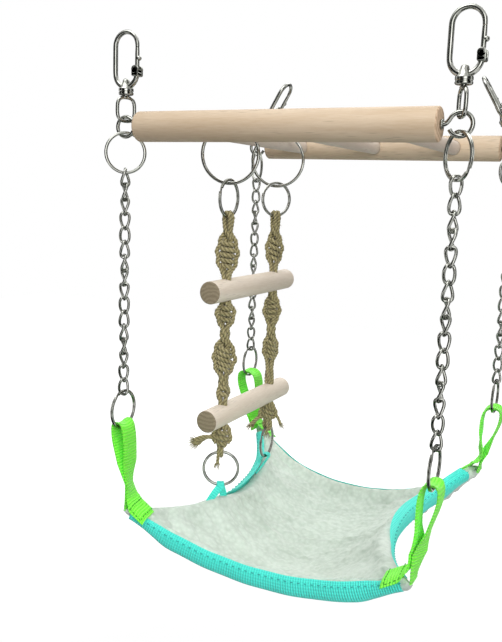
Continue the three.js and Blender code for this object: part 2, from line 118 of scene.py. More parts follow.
def makeCamera():
    railEnd = middleOf("rail_front")
    railEnd.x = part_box("rail_front")[0].x
    yaw, pitch, roll = degrees(view["yaw"], view["pitch"], view["roll"])
    right = Vector((math.cos(yaw), math.sin(yaw), 0))
    forward = Vector((-math.sin(yaw) * math.cos(pitch), math.cos(yaw) * math.cos(pitch), -math.sin(pitch)))
    up = right.cross(forward)
    across = right * math.cos(roll) + up * math.sin(roll)
    tall = up * math.cos(roll) - right * math.sin(roll)
    bpy.ops.object.camera_add()
    camera = bpy.context.object
    place = railEnd + Vector(view["fromRailEnd"]) * mm
    camera.matrix_world = Matrix.Translation(place) @ Matrix((across, tall, -forward)).transposed().to_4x4()
    camera.data.sensor_width = view["sensor"]
    camera.data.lens = view["focal"] / view["imageHeight"] * view["sensor"]
    camera.data.clip_start = view["nearest"]
    bpy.context.scene.camera = camera


makeCamera()
print("camera ready")


# Node helpers: a socket among the values is linked, anything else is set on the input
def fill(tree, node, values):
    for key, value in values.items():
        if isinstance(value, bpy.types.NodeSocket):
            tree.links.new(value, node.inputs[key])
        else:
            node.inputs[key].default_value = value


def addNode(tree, kind, values=None, **settings):
    node = tree.nodes.new("ShaderNode" + kind)
    for key, value in settings.items():
        setattr(node, key, value)
    fill(tree, node, values or {})
    return node


def ramp(tree, source, stops):
    node = addNode(tree, "ValToRGB", {"Fac": source})
    for element, (place, colour) in zip(node.color_ramp.elements, stops):
        element.position = place
        element.color = (*colour, 1)
    return node.outputs["Color"]


def mathOf(tree, operation, first, second=0.5):
    return addNode(tree, "Math", {0: first, 1: second}, operation=operation).outputs["Value"]


def noiseOf(tree, vector, scale, detail, **more):
    return addNode(tree, "TexNoise", {"Vector": vector, "Scale": scale, "Detail": detail, **more}).outputs["Fac"]


def blend(tree, factor, first, second):
    values = {"Factor": factor, "A": first, "B": second}
    return addNode(tree, "Mix", values, data_type="FLOAT").outputs["Result"]


def spread(tree, value, fromRange, toRange=(0.0, 1.0)):
    names = ("From Min", "From Max", "To Min", "To Max")
    return addNode(tree, "MapRange", {"Value": value, **dict(zip(names, fromRange + toRange))}).outputs["Result"]


def placed(tree, **mapping):
    place = addNode(tree, "TexCoord").outputs["Object"]
    return addNode(tree, "Mapping", {"Vector": place, **mapping}).outputs["Vector"] if mapping else place


def grey(value):
    return (value, value, value)


def startMaterial(name, roughness, specular=0.5, sheen=None, **sockets):
    material = bpy.data.materials.new(name)
    material.use_nodes = True
    tree = material.node_tree
    shader = tree.nodes["Principled BSDF"]
    if sheen:
        sockets.update({"Sheen Weight": sheen[0], "Sheen Roughness": sheen[1]})
    fill(tree, shader, {"Roughness": roughness, "Specular IOR Level": specular, **sockets})
    return material, tree, shader


def startGroup(name, inputs, outputs):
    tree = bpy.data.node_groups.new(name, "ShaderNodeTree")
    for label, kind in inputs.items():
        tree.interface.new_socket(label, in_out="INPUT", socket_type="NodeSocket" + kind)
    for label in outputs:
        tree.interface.new_socket(label, in_out="OUTPUT", socket_type="NodeSocketFloat")
    return tree, tree.nodes.new("NodeGroupInput").outputs, tree.nodes.new("NodeGroupOutput")


def placeGroup(tree, group, values):
    node = addNode(tree, "Group", node_tree=group)
    fill(tree, node, values)
    return node.outputs


def bumpTo(tree, shader, height, distance, strength):
    bump = addNode(tree, "Bump", {"Distance": distance, "Strength": strength, "Height": height})
    fill(tree, shader, {"Normal": bump.outputs["Normal"]})


# Beech grain: slow bands of tone and short dark flecks, both drawn out along the dowel
def makeGrainGroup():
    tree, into, out = startGroup("beechGrain", {"Vector": "Vector", "Fleck": "Float"}, ("Tone", "Fleck", "Height"))
    bands = noiseOf(tree, into["Vector"], 150.0, 4.0, Roughness=0.55)
    fibres = noiseOf(tree, into["Vector"], 1500.0, 2.0, Roughness=0.6)
    flecks = addNode(tree, "TexVoronoi", {"Vector": into["Vector"], "Scale": 900.0, "Randomness": 1.0})
    dash = spread(tree, flecks.outputs["Distance"], (0.10, 0.34), (1.0, 0.0))
    sparse = mathOf(tree, "MULTIPLY", dash, spread(tree, bands, (0.48, 0.60)))
    strength = mathOf(tree, "MULTIPLY", sparse, into["Fleck"])
    fill(tree, out, {"Tone": blend(tree, 0.35, bands, fibres), "Fleck": strength,
                     "Height": mathOf(tree, "SUBTRACT", fibres, strength)})
    return tree


# Woven ribs across a tape, from UV in metres: u across, v along. The Shade output is painted shade, darker in the
# grooves between ribs, mixed with random tone
def makeRibGroup():
    tree, into, out = startGroup("wovenRibs", {"Rib": "Float", "Yarn": "Float"}, ("Height", "Shade"))
    uv = addNode(tree, "UVMap", uv_map="UVMap").outputs["UV"]
    split = addNode(tree, "SeparateXYZ", {"Vector": uv}).outputs

    def waveOf(axis, pitch):
        turns = mathOf(tree, "DIVIDE", split[axis], into[pitch])
        return mathOf(tree, "COSINE", mathOf(tree, "MULTIPLY", turns, math.tau))

    height = mathOf(tree, "ADD", waveOf("Y", "Rib"), mathOf(tree, "MULTIPLY", waveOf("X", "Yarn"), 0.45))
    # painted shade: the colour follows the rib height, darker in the grooves, with some random tone mixed in
    shade = blend(tree, 0.3, spread(tree, height, (-1.4, 1.2)), noiseOf(tree, uv, 1400.0, 3.0))
    fill(tree, out, {"Height": height, "Shade": shade})
    return tree


grainGroup = makeGrainGroup()
ribGroup = makeRibGroup()


def makeWood(name, along, pale, deep, fleck):
    material, tree, shader = startMaterial(name, 0.55, 0.35)
    stretched = placed(tree, Scale=[0.09 if axis == along else 1.0 for axis in "XYZ"])
    grain = placeGroup(tree, grainGroup, {"Vector": stretched, "Fleck": fleck})
    base = ramp(tree, grain["Tone"], [(0.30, deep), (0.62, pale)])
    dark = (*[c * 0.55 for c in deep], 1)
    flecked = addNode(tree, "Mix", {"Factor": grain["Fleck"], "A": base, "B": dark}, data_type="RGBA")
    fill(tree, shader, {"Base Color": flecked.outputs["Result"],
                        "Roughness": ramp(tree, grain["Tone"], [(0.2, grey(0.66)), (0.8, grey(0.5))])})
    bumpTo(tree, shader, grain["Height"], 0.00012, 0.6)
    return material


# End grain: growth rings about a heart that lies off the dowel's axis
def makeEndGrain(name, axis, pale, deep, heart):
    material, tree, shader = startMaterial(name, 0.75, 0.25)
    growth = {"Vector": placed(tree, Location=[-c for c in heart]),
              "Scale": 120.0, "Distortion": 4.0, "Detail": 3.0, "Detail Scale": 1.6}
    rings = addNode(tree, "TexWave", growth, wave_type="RINGS", rings_direction=axis).outputs["Fac"]
    both = blend(tree, 0.62, rings, noiseOf(tree, placed(tree), 1600.0, 3.0))
    fill(tree, shader, {"Base Color": ramp(tree, both, [(0.25, deep), (0.75, pale)])})
    bumpTo(tree, shader, both, 0.0002, 0.7)
    return material


def makeNickel():
    material, tree, shader = startMaterial("nickelWire", 0.16, Metallic=1.0)
    dull = noiseOf(tree, placed(tree), 120.0, 2.0)
    fill(tree, shader, {"Base Color": ramp(tree, dull, [(0.3, (0.26, 0.27, 0.24)), (0.7, (0.42, 0.42, 0.39))]),
                        "Roughness": ramp(tree, dull, [(0.25, grey(0.24)), (0.75, grey(0.12))])})
    bumpTo(tree, shader, noiseOf(tree, placed(tree), 700.0, 3.0, Roughness=0.6), 0.00004, 0.5)
    return material


def makeTape(name, bright, deep, rib, yarn):
    material, tree, shader = startMaterial(name, 0.7, 0.3, sheen=(0.25, 0.4))
    weave = placeGroup(tree, ribGroup, {"Rib": rib, "Yarn": yarn})
    # base colour from the ribs' painted shade, darker in the grooves, with random tone
    fill(tree, shader, {"Base Color": ramp(tree, weave["Shade"], [(0.15, deep), (0.7, bright)])})
    bumpTo(tree, shader, weave["Height"], 0.00022, 0.8)
    return material


def makeThread(name, colour):
    material, tree, shader = startMaterial(name, 0.6, 0.3)
    twist = noiseOf(tree, placed(tree), 2200.0, 2.0)
    fill(tree, shader, {"Base Color": ramp(tree, twist, [(0.3, [c * 0.7 for c in colour]), (0.7, colour)])})
    return material


# Jute: fibres along the strand's twist, and three plies from UV in metres, u round the strand and v along it. The ply
# pattern is painted shade, darker in the grooves between the plies
juteMake = {"plies": 3, "girth": 0.0094, "lay": 0.0075, "fibreTurn": 28, "fibreStretch": 0.12}


def makeJute(name, pale, deep):
    material, tree, shader = startMaterial(name, 0.9, 0.15, sheen=(0.2, 0.5))
    uv = addNode(tree, "UVMap", uv_map="UVMap").outputs["UV"]
    drawn = addNode(tree, "Mapping", {"Vector": uv, "Scale": (1.0, juteMake["fibreStretch"], 1.0),
                                      "Rotation": degrees(0, 0, juteMake["fibreTurn"])}).outputs["Vector"]
    fibres = noiseOf(tree, drawn, 2600.0, 4.0, Roughness=0.65)
    split = addNode(tree, "SeparateXYZ", {"Vector": uv}).outputs
    around = mathOf(tree, "MULTIPLY", split["X"], math.tau * juteMake["plies"] / juteMake["girth"])
    along = mathOf(tree, "MULTIPLY", split["Y"], math.tau * juteMake["plies"] / juteMake["lay"])
    plies = mathOf(tree, "COSINE", mathOf(tree, "SUBTRACT", around, along))
    grain = blend(tree, 0.4, fibres, noiseOf(tree, placed(tree), 160.0, 3.0))
    # painted shade: the ply pattern darkens the colour between the plies, mixed with the fibres' own tone
    both = blend(tree, 0.28, grain, spread(tree, plies, (-1.0, 0.6)))
    fill(tree, shader, {"Base Color": ramp(tree, both, [(0.25, deep), (0.68, pale)])})
    bumpTo(tree, shader, fibres, 0.0003, 0.8)
    return material


def makePlush(name, pale, deep):
    material, tree, shader = startMaterial(name, 0.95, 0.1, sheen=(0.35, 0.6))
    place = placed(tree)
    curls = addNode(tree, "TexVoronoi", {"Vector": place, "Scale": 330.0, "Smoothness": 0.6}, feature="SMOOTH_F1")
    lumps = mathOf(tree, "SUBTRACT", 1.0, curls.outputs["Distance"])
    height = blend(tree, 0.45, lumps, noiseOf(tree, place, 1300.0, 4.0, Roughness=0.7, Distortion=1.2))
    # painted shade: colour darker in the hollows between curls, following the bump height, mixed with slow random
    # patches of tone
    curlShadeAndTone = blend(tree, 0.45, height, noiseOf(tree, place, 55.0, 3.0))
    fill(tree, shader, {"Base Color": ramp(tree, curlShadeAndTone, [(0.30, deep), (0.62, pale)])})
    bumpTo(tree, shader, height, 0.0011, 0.7)
    return material


finishes = {
    "railWood": makeWood("railBeech", "X", (0.615, 0.49, 0.355), (0.51, 0.38, 0.25), 0.6),
    "rungWood": makeWood("rungBeech", "Y", (0.72, 0.63, 0.54), (0.63, 0.51, 0.42), 0.35),
    "ladderWood": makeWood("ladderBeech", "Y", (0.80, 0.71, 0.60), (0.69, 0.585, 0.47), 0.5),
    "endGrain": makeEndGrain("rungEndGrain", "Y", (0.315, 0.265, 0.18), (0.23, 0.185, 0.12), (-0.057, 0.0, -0.166)),
    "railEnd": makeEndGrain("railEndGrain", "X", (0.62, 0.46, 0.32), (0.40, 0.28, 0.18), (0.0, -0.086, -0.046)),
    "nickel": makeNickel(),
    # the jute's deep colour is partly its own darker fibres and partly painted shade between the plies
    "jute": makeJute("juteCord", (0.45, 0.395, 0.21), (0.095, 0.078, 0.028)),
    "green": makeTape("limeWebbing", (0.28, 1.0, 0.09), (0.13, 0.93, 0.03), 0.0019, 0.0012),
    "cyan": makeTape("turquoiseTape", (0.10, 0.93, 0.78), (0.05, 0.76, 0.64), 0.0017, 0.0011),
    "plush": makePlush("teddyPlush", (0.70, 0.785, 0.705), (0.50, 0.59, 0.505)),
    "greenThread": makeThread("limeThread", (0.05, 0.45, 0.03)),
    "cyanThread": makeThread("turquoiseThread", (0.04, 0.50, 0.44)),
}
print("finishes ready")


# Stage: a pale floor well below the hammock, soft lamps and a white background
studio = {
    "floorDrop": 260,  # mm under the part's lowest point
    "floorHalf": 2400,
    "floorTone": 0.38,
    "glow": ((0.7, 1.4), (0.56, 1.0)),  # metres from the part, and the floor's own white there
    "worldLight": 0.16,
    "cardTone": (0.015, 0.018, 0.015),
    "cards": [
        # place, size, turn
        ((1100, -300, -100), (900, 1500), (90, 0, 75)),
        ((-1100, -500, -150), (900, 1500), (90, 0, -65)),
        ((-330, -1050, -150), (900, 1500), (90, 0, -17)),
        ((-420, 900, -150), (1500, 1500), (90, 0, 25)),
        ((700, 1000, -150), (900, 1500), (90, 0, -35)),
        ((0, -150, -590), (900, 900), (0, 0, 0)),
    ],
    "aim": (0, 0, -180),
    "lamps": [
        # place, width and height, watts, what it lights
        ((-300, -450, 950), (900, 900), 9.5, "all"),
        ((750, -900, 250), (900, 900), 13, "diffuse"),
        ((650, -1150, 150), (620, 900), 4.4, "glossy"),
        ((-100, 900, 750), (1000, 1000), 8, "all"),
        ((-600, 950, 100), (900, 900), 8, "diffuse"),
    ],
}


def seenRays(tree):
    rays = addNode(tree, "LightPath").outputs
    clear = mathOf(tree, "MAXIMUM", rays["Is Camera Ray"], rays["Is Transmission Ray"])
    return mathOf(tree, "MAXIMUM", clear, rays["Is Glossy Ray"])


def makeWorld():
    bpy.context.scene.view_settings.view_transform = "Standard"
    world = bpy.data.worlds.new("studio")
    bpy.context.scene.world = world
    world.use_nodes = True
    tree = world.node_tree
    level = spread(tree, seenRays(tree), (0.0, 1.0), (studio["worldLight"], 1.0))
    fill(tree, tree.nodes["Background"], {"Color": (1, 1, 1, 1), "Strength": level})


def layPlane(name, place, size, turn, material):
    deselect()
    bpy.ops.mesh.primitive_plane_add(size=1, location=place, rotation=degrees(*turn))
    plane = bpy.context.object
    plane.name = name
    plane.scale = (size[0] * mm, size[1] * mm, 1)
    applyPlace()
    plane.data.materials.append(material)
    return plane


# white to the eye and in the wire, with the shadow kept under the part
def makeFloor():
    material, tree, shader = startMaterial("paleFloor", 0.9, 0.0)
    away = addNode(tree, "VectorMath", {0: placed(tree)}, operation="LENGTH").outputs["Value"]
    lit = mathOf(tree, "MULTIPLY", spread(tree, away, *studio["glow"]), seenRays(tree))
    glow = addNode(tree, "Emission", {"Color": (1, 1, 1, 1), "Strength": lit}).outputs["Emission"]
    both = addNode(tree, "AddShader", {0: shader.outputs["BSDF"], 1: glow}).outputs["Shader"]
    fill(tree, shader, {"Base Color": (*grey(studio["floorTone"]), 1)})
    fill(tree, tree.nodes["Material Output"], {"Surface": both})
    floorZ = cadLow[2] - studio["floorDrop"] * mm
    return layPlane("floor", (0, 0, floorZ), [2 * studio["floorHalf"]] * 2, (0, 0, 0), material)


# dark cards out of view give the bare wire something to mirror
def makeCards():
    dark, tree, shader = startMaterial("darkCard", 1.0, 0.0)
    fill(tree, shader, {"Base Color": (*studio["cardTone"], 1)})
    cards = [layPlane("darkCard", Vector(place) * mm, size, turn, dark) for place, size, turn in studio["cards"]]
    for card in cards:
        card.visible_camera = card.visible_diffuse = card.visible_shadow = False
    return cards


def makeLamps():
    for place, size, watts, lights in studio["lamps"]:
        spot = Vector(place) * mm
        bpy.ops.object.light_add(type="AREA", location=spot)
        lamp = bpy.context.object
        lamp.data.shape = "RECTANGLE"
        lamp.data.size, lamp.data.size_y = size[0] * mm, size[1] * mm
        lamp.data.energy = watts
        lamp.rotation_euler = (Vector(studio["aim"]) * mm - spot).to_track_quat("-Z", "Y").to_euler()
        lamp.visible_glossy = lights != "diffuse"
        lamp.visible_diffuse = lights != "glossy"


makeWorld()
floor = makeFloor()
cards = makeCards()
makeLamps()
print("stage ready")


# Piece helpers
smoothAngle = 40


def settle(piece, node, finish=None):
    pick(piece)
    applyPlace()
    bpy.ops.object.shade_smooth_by_angle(angle=math.radians(smoothAngle))
    piece.name = piece.data.name = node + "_look"
    if finish:
        dress(piece, finish)
    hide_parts(node)
    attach(piece, bodyOf[node])


def dress(piece, finish):
    piece.data.materials.append(finishes[finish])
    return piece


def newPiece(name, verts, faces, edges=()):
    mesh = bpy.data.meshes.new(name)
    mesh.from_pydata([tuple(v) for v in verts], list(edges), faces)
    piece = bpy.data.objects.new(name, mesh)
    bpy.context.collection.objects.link(piece)
    return piece


def applyAll(piece):
    pick(piece)
    for modifier in list(piece.modifiers):
        bpy.ops.object.modifier_apply(modifier=modifier.name)


def joinPieces(pieces):
    pick(pieces[0])
    for piece in pieces[1:]:
        piece.select_set(True)
    bpy.ops.object.join()
    return bpy.context.object


def copyPiece(piece, matrix):
    twin = piece.copy()
    twin.data = piece.data.copy()
    bpy.context.collection.objects.link(twin)
    twin.data.transform(matrix)
    return twin


def tidyMesh(piece):
    pick(piece)
    bpy.ops.object.mode_set(mode="EDIT")
    bpy.ops.mesh.select_all(action="SELECT")
    bpy.ops.mesh.remove_doubles(threshold=0.000001)
    bpy.ops.mesh.normals_make_consistent(inside=False)
    bpy.ops.object.mode_set(mode="OBJECT")
    return piece


def turnAbout(axis, angle):
    return Matrix.Rotation(math.radians(angle), 4, axis)


def roundEdges(piece, width, segments, angle=30):
    edge = piece.modifiers.new("rounded", "BEVEL")
    edge.width = width * mm
    edge.segments = segments
    edge.limit_method = "ANGLE"
    edge.angle_limit = math.radians(angle)
    applyAll(piece)


def addCylinder(radius, depth, place, turn, facets):
    deselect()
    bpy.ops.mesh.primitive_cylinder_add(vertices=facets, radius=radius, depth=depth, location=place,
                                        rotation=degrees(*turn))
    applyPlace()
    return bpy.context.object


def addBox(size, place):
    deselect()
    bpy.ops.mesh.primitive_cube_add(size=1, location=Vector(place) * mm)
    box = bpy.context.object
    box.scale = Vector(size) * mm
    applyPlace()
    return box


# Round wire bent along points, thinned or thickened along its length
def bendWire(points, radius, closed=False, thickness=None, fine=4, smooth=True, section=None):
    deselect()
    shape = bpy.data.curves.new("wire", "CURVE")
    shape.dimensions = "3D"
    shape.twist_mode = "MINIMUM"
    shape.use_fill_caps = not closed
    shape.bevel_depth = radius
    shape.bevel_resolution = fine
    if section:
        shape.bevel_mode = "OBJECT"
        shape.bevel_object = section
        shape.twist_mode = "Z_UP"
    run = shape.splines.new("NURBS" if smooth else "POLY")
    run.points.add(len(points) - 1)
    for index, place in enumerate(points):
        run.points[index].co = (*place, 1)
        run.points[index].radius = thickness[index] if thickness else 1
    run.use_cyclic_u = closed
    if smooth:
        run.order_u = 4
        run.resolution_u = 5
        run.use_endpoint_u = not closed
    wire = bpy.data.objects.new("wire", shape)
    bpy.context.collection.objects.link(wire)
    pick(wire)
    bpy.ops.object.convert(target="MESH")
    return tidyMesh(bpy.context.object)


# Points round an oblong loop, as shares of its half width and half length
def oblong(count):
    for k in range(count):
        angle = math.tau * k / count
        yield [math.copysign(abs(v) ** (2 / 3), v) for v in (math.cos(angle), math.sin(angle))]


def frontOf(direction, hint):
    direction = direction.normalized()
    front = (hint - direction * hint.dot(direction)).normalized()
    return front, direction.cross(front)


# Skin over rings of points, capped, with UV in metres: u round the ring, v along the run
def skin(name, rings):
    count = len(rings[0])
    along, around = [0.0], [0.0]
    for a, b in zip(rings, rings[1:]):
        along.append(along[-1] + (sum(b, Vector()) - sum(a, Vector())).length / count)
    for k in range(count):
        around.append(around[-1] + (rings[0][(k + 1) % count] - rings[0][k]).length)
    faces, cornerUv = [], []
    for r in range(len(rings) - 1):
        low, high = r * count, (r + 1) * count
        for k in range(count):
            m = (k + 1) % count
            faces.append((low + k, low + m, high + m, high + k))
            cornerUv += [(around[k], along[r]), (around[k + 1], along[r]),
                         (around[k + 1], along[r + 1]), (around[k], along[r + 1])]
    last = (len(rings) - 1) * count
    faces += [tuple(range(count - 1, -1, -1)), tuple(range(last, last + count))]
    cornerUv += [(around[k], 0.0) for k in range(count - 1, -1, -1)] + [(around[k], along[-1]) for k in range(count)]
    piece = newPiece(name, [p for ring in rings for p in ring], faces)
    layer = piece.data.uv_layers.new(name="UVMap")
    for loop, uv in zip(layer.data, cornerUv):
        loop.uv = uv
    return piece


def resample(points, step):
    lengths = [0.0]
    for a, b in zip(points, points[1:]):
        lengths.append(lengths[-1] + (b - a).length)
    count = max(2, round(lengths[-1] / step))
    out, seg = [], 0
    for k in range(count + 1):
        goal = lengths[-1] * k / count
        while seg < len(points) - 2 and lengths[seg + 1] < goal:
            seg += 1
        share = (goal - lengths[seg]) / max(lengths[seg + 1] - lengths[seg], 1e-12)
        out.append(points[seg].lerp(points[seg + 1], clamp(share)))
    return out


def tangentsOf(points):
    last = len(points) - 1
    return [(points[min(i + 1, last)] - points[max(i - 1, 0)]).normalized() for i in range(last + 1)]


# Smooth run of points through a few given ones
def smoothRun(points, step, perSpan=12):
    run = []
    for i in range(len(points) - 1):
        p0, p1 = points[max(i - 1, 0)], points[i]
        p2, p3 = points[i + 1], points[min(i + 2, len(points) - 1)]
        for k in range(perSpan):
            t = k / perSpan
            run.append(0.5 * ((2 * p1) + (p2 - p0) * t + (2 * p0 - 5 * p1 + 4 * p2 - p3) * t * t
                              + (3 * p1 - p0 - 3 * p2 + p3) * t ** 3))
    run.append(points[-1])
    return resample(run, step)


# Rails and bridge rungs: beech dowel, sockets bored for the rungs and pilot holes for the screw eyes
railMake = {"facets": 80, "endBevel": 1.3, "socketDepth": 9, "socketSlack": 0.3, "pilot": 3.6, "pilotDepth": 17}
rungMake = {"facets": 56, "endBevel": 0.6}
dowelMake = {"bevelSteps": 4, "bevelAngle": 60, "boreFacets": 40, "endSkin": 1.2}
rungNodes = [node for node in bodyOf if node.startswith("bridge_rung_")]
acrossX, acrossY = (0, 90, 0), (90, 0, 0)


def makeDowel(node, along, make):
    low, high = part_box(node)
    size = high - low
    length, turn = (size.x, acrossX) if along == "X" else (size.y, acrossY)
    dowel = addCylinder(size.z / 2, length, middleOf(node), turn, make["facets"])
    roundEdges(dowel, make["endBevel"], dowelMake["bevelSteps"], dowelMake["bevelAngle"])
    return dowel


def boreHoles(piece, holes):
    cutter = joinPieces([addCylinder(diameter / 2 * mm, reach * mm, place, turn, dowelMake["boreFacets"])
                         for place, turn, diameter, reach in holes])
    cut = piece.modifiers.new("bore", "BOOLEAN")
    cut.object = cutter
    cut.solver = "EXACT"
    applyAll(piece)
    bpy.data.objects.remove(cutter)


# the flat end faces take the second finish, end grain
def markEnds(piece, axis, side, end):
    dress(piece, side)
    dress(piece, end)
    low, high = (f([v.co[axis] for v in piece.data.vertices]) for f in (min, max))
    skinDeep = dowelMake["endSkin"] * mm
    for face in piece.data.polygons:
        reach = face.center[axis]
        if abs(face.normal[axis]) > 0.5 and (reach < low + skinDeep or reach > high - skinDeep):
            face.material_index = 1


def makeRail(side):
    node = "rail_" + side
    low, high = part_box(node)
    half = (high - low) / 2
    middle = middleOf(node)
    rail = makeDowel(node, "X", railMake)
    holes = []
    for rung in rungNodes:
        rungLow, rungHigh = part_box(rung)
        socket = (rungHigh.z - rungLow.z) / mm + 2 * railMake["socketSlack"]
        inner = (middleOf(rung).x, middle.y - sides[side] * half.y, middle.z)
        holes.append((inner, acrossY, socket, 2 * railMake["socketDepth"]))
    for end in ends.values():
        tip = (middle.x + end * half.x, middle.y, middle.z)
        holes.append((tip, acrossX, railMake["pilot"], 2 * railMake["pilotDepth"]))
    boreHoles(rail, holes)
    markEnds(rail, 0, "railWood", "railEnd")
    settle(rail, node)


for side in sides:
    makeRail(side)
for node in rungNodes:
    settle(makeDowel(node, "Y", rungMake), node, "rungWood")
print("bridge ready")


# Ladder rungs: thicker dowel, bored for the two ropes, end grain showing
ladderMake = {"facets": 72, "endBevel": 0.9, "bore": 6.8, "boreReach": 40}


def makeLadderRung(node):
    rung = makeDowel(node, "Y", ladderMake)
    middle = middleOf(node)
    boreHoles(rung, [((middle.x, middleOf("ladder_rope_" + side).y, middle.z), (0, 0, 0),
                      ladderMake["bore"], ladderMake["boreReach"]) for side in sides])
    markEnds(rung, 1, "ladderWood", "endGrain")
    settle(rung, node)


for node in ("ladder_rung_upper", "ladder_rung_lower"):
    makeLadderRung(node)
print("ladder rungs ready")


# Split rings: flattened wire wound twice, the two turns crossing over in a short step
ringMake = {
    "thick": 0.95, "clear": 0.92,  # shares of the wire
    "sweep": 706, "crossing": 38, "steps": 132,
    "wire": 2.0, "bigWire": 2.2, "bigOver": 30,
    "strapYaw": 90, "cornerYaw": 45,
    "yaws": {
        "ladder_ring": {"front": 15, "back": 15},
        "rope_ring": {"front": 89, "back": 60},
        "tie_ring": {"front": 27, "back": 93},
    },
    # where the wire begins, in degrees round the ring
    "starts": {"corner_ring": {"front": -30, "back": 70}, "strap_ring": 130,
               "ladder_ring": 25, "rope_ring": 160, "tie_ring": 160},
}


def cornerYaw(side, end):
    return ringMake["cornerYaw"] * sides[side] * ends[end]


def makeSplitRing(outer, wire, start):
    radius = (outer - wire) / 2
    step = wire / 2 * ringMake["thick"]
    sweep, crossing = ringMake["sweep"], ringMake["crossing"]
    deselect()
    bpy.ops.curve.primitive_bezier_circle_add(radius=1)
    section = bpy.context.object
    section.data.resolution_u = 4
    section.data.transform(Matrix.Diagonal((wire / 2 * ringMake["clear"], wire / 4, 1, 1)))
    points = []
    for k in range(ringMake["steps"] + 1):
        turn = sweep * k / ringMake["steps"]
        lift = (eased((turn - sweep / 2) / crossing + 0.5) - 0.5) * step
        angle = math.radians(turn + start)
        points.append((radius * math.cos(angle), radius * math.sin(angle), lift))
    ring = bendWire(points, wire / 2, section=section, smooth=False)
    bpy.data.objects.remove(section)
    return ring


def placeRing(node, yaw, start):
    low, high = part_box(node)
    outer = high.z - low.z
    wire = ringMake["bigWire"] if outer > ringMake["bigOver"] * mm else ringMake["wire"]
    ring = makeSplitRing(outer, wire * mm, start)
    ring.data.transform(Matrix.Translation(middleOf(node)) @ turnAbout("Z", yaw) @ turnAbout("X", 90))
    settle(ring, node, "nickel")


for side, end in corners:
    placeRing(f"corner_ring_{side}_{end}", cornerYaw(side, end), ringMake["starts"]["corner_ring"][side])
    placeRing(f"strap_ring_{side}_{end}", ringMake["strapYaw"], ringMake["starts"]["strap_ring"])
for side in sides:
    for kind, yaws in ringMake["yaws"].items():
        placeRing(f"{kind}_{side}", yaws[side], ringMake["starts"][kind])
print("rings ready")


# Curb chains: one twisted link, copied down the chain and turned a little each time
linkMake = {"wire": 1.8, "innerLength": 8.6, "innerWidth": 3.8, "twist": 45, "count": 16, "halfTurns": 2, "seat": 0.25,
            "steps": 44, "fine": 3}
linkHalf = (linkMake["innerLength"] + linkMake["wire"]) / 2


def makeLink():
    halfWidth = (linkMake["innerWidth"] + linkMake["wire"]) / 2
    points = []
    for wide, tall in oblong(linkMake["steps"]):
        twist = math.radians(linkMake["twist"]) * tall
        out = halfWidth * wide
        points.append(Vector((out * math.cos(twist), out * math.sin(twist), linkHalf * tall)) * mm)
    return bendWire(points, linkMake["wire"] / 2 * mm, closed=True, fine=linkMake["fine"], smooth=False)


def makeChain(side, end, link):
    node = f"chain_{side}_{end}"
    pitch = linkMake["innerLength"] + linkMake["seat"]
    firstYaw = cornerYaw(side, end) + 90 - linkMake["twist"]
    lastYaw = ringMake["strapYaw"] + 90 + linkMake["twist"] + 180 * linkMake["halfTurns"]
    turn = (lastYaw - firstYaw) / (linkMake["count"] - 1)
    links = []
    for k in range(linkMake["count"]):
        place = middleOf(node)
        place.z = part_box(node)[1].z - (linkHalf + linkMake["wire"] / 2 + k * pitch) * mm
        links.append(copyPiece(link, Matrix.Translation(place) @ turnAbout("Z", firstYaw + k * turn)))
    settle(joinPieces(links), node, "nickel")


link = makeLink()
for side, end in corners:
    makeChain(side, end, link)
bpy.data.objects.remove(link)
print("chains ready")


# Screw eyes: wire bent round into an eye that stops just short of its own neck
eyeMake = {
    "wire": 2.4, "inner": 9.6, "clear": 0.95,
    # shank, from its tip to the eye: out from the eye's circle, up, thickness
    "shank": [(19.8, 0, 0.9), (13.8, 0, 1.25), (4.5, 0, 1.25), (2.4, 0, 1.2), (0.9, 0.5, 1.08)],
    "bend": range(22, 338, 12),  # degrees
    "collar": 5.2, "collarDepth": 1.2, "collarOut": 3.2, "collarEdge": 0.45,
}
eyeRadius = (eyeMake["inner"] + eyeMake["wire"]) / 2
eyeX = abs(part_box("screw_eye_front_left")[0].x) - (eyeRadius + eyeMake["wire"] / 2) * mm
railZ = middleOf("rail_front").z


def makeScrewEye():
    points = [Vector((eyeRadius + out, 0, up)) * mm for out, up, _ in eyeMake["shank"]]
    for angle in degrees(*eyeMake["bend"]):
        points.append(Vector((math.cos(angle), 0, math.sin(angle))) * eyeRadius * mm)
    thickness = [size for _, _, size in eyeMake["shank"]] + [1] * len(eyeMake["bend"])
    wire = bendWire(points, eyeMake["wire"] / 2 * eyeMake["clear"] * mm, thickness=thickness)
    collar = addCylinder(eyeMake["collar"] / 2 * mm, eyeMake["collarDepth"] * mm,
                         ((eyeRadius + eyeMake["collarOut"]) * mm, 0, 0), acrossX, 28)
    roundEdges(collar, eyeMake["collarEdge"], 3)
    return joinPieces([wire, collar])


def cornerPlace(side, end):
    return Vector((ends[end] * eyeX, middleOf("rail_" + side).y, railZ))


screwEye = makeScrewEye()
for side, end in corners:
    place = Matrix.Translation(cornerPlace(side, end)) @ turnAbout("Z", 0 if end == "left" else 180)
    settle(copyPiece(screwEye, place), f"screw_eye_{side}_{end}", "nickel")
bpy.data.objects.remove(screwEye)
print("screw eyes ready")


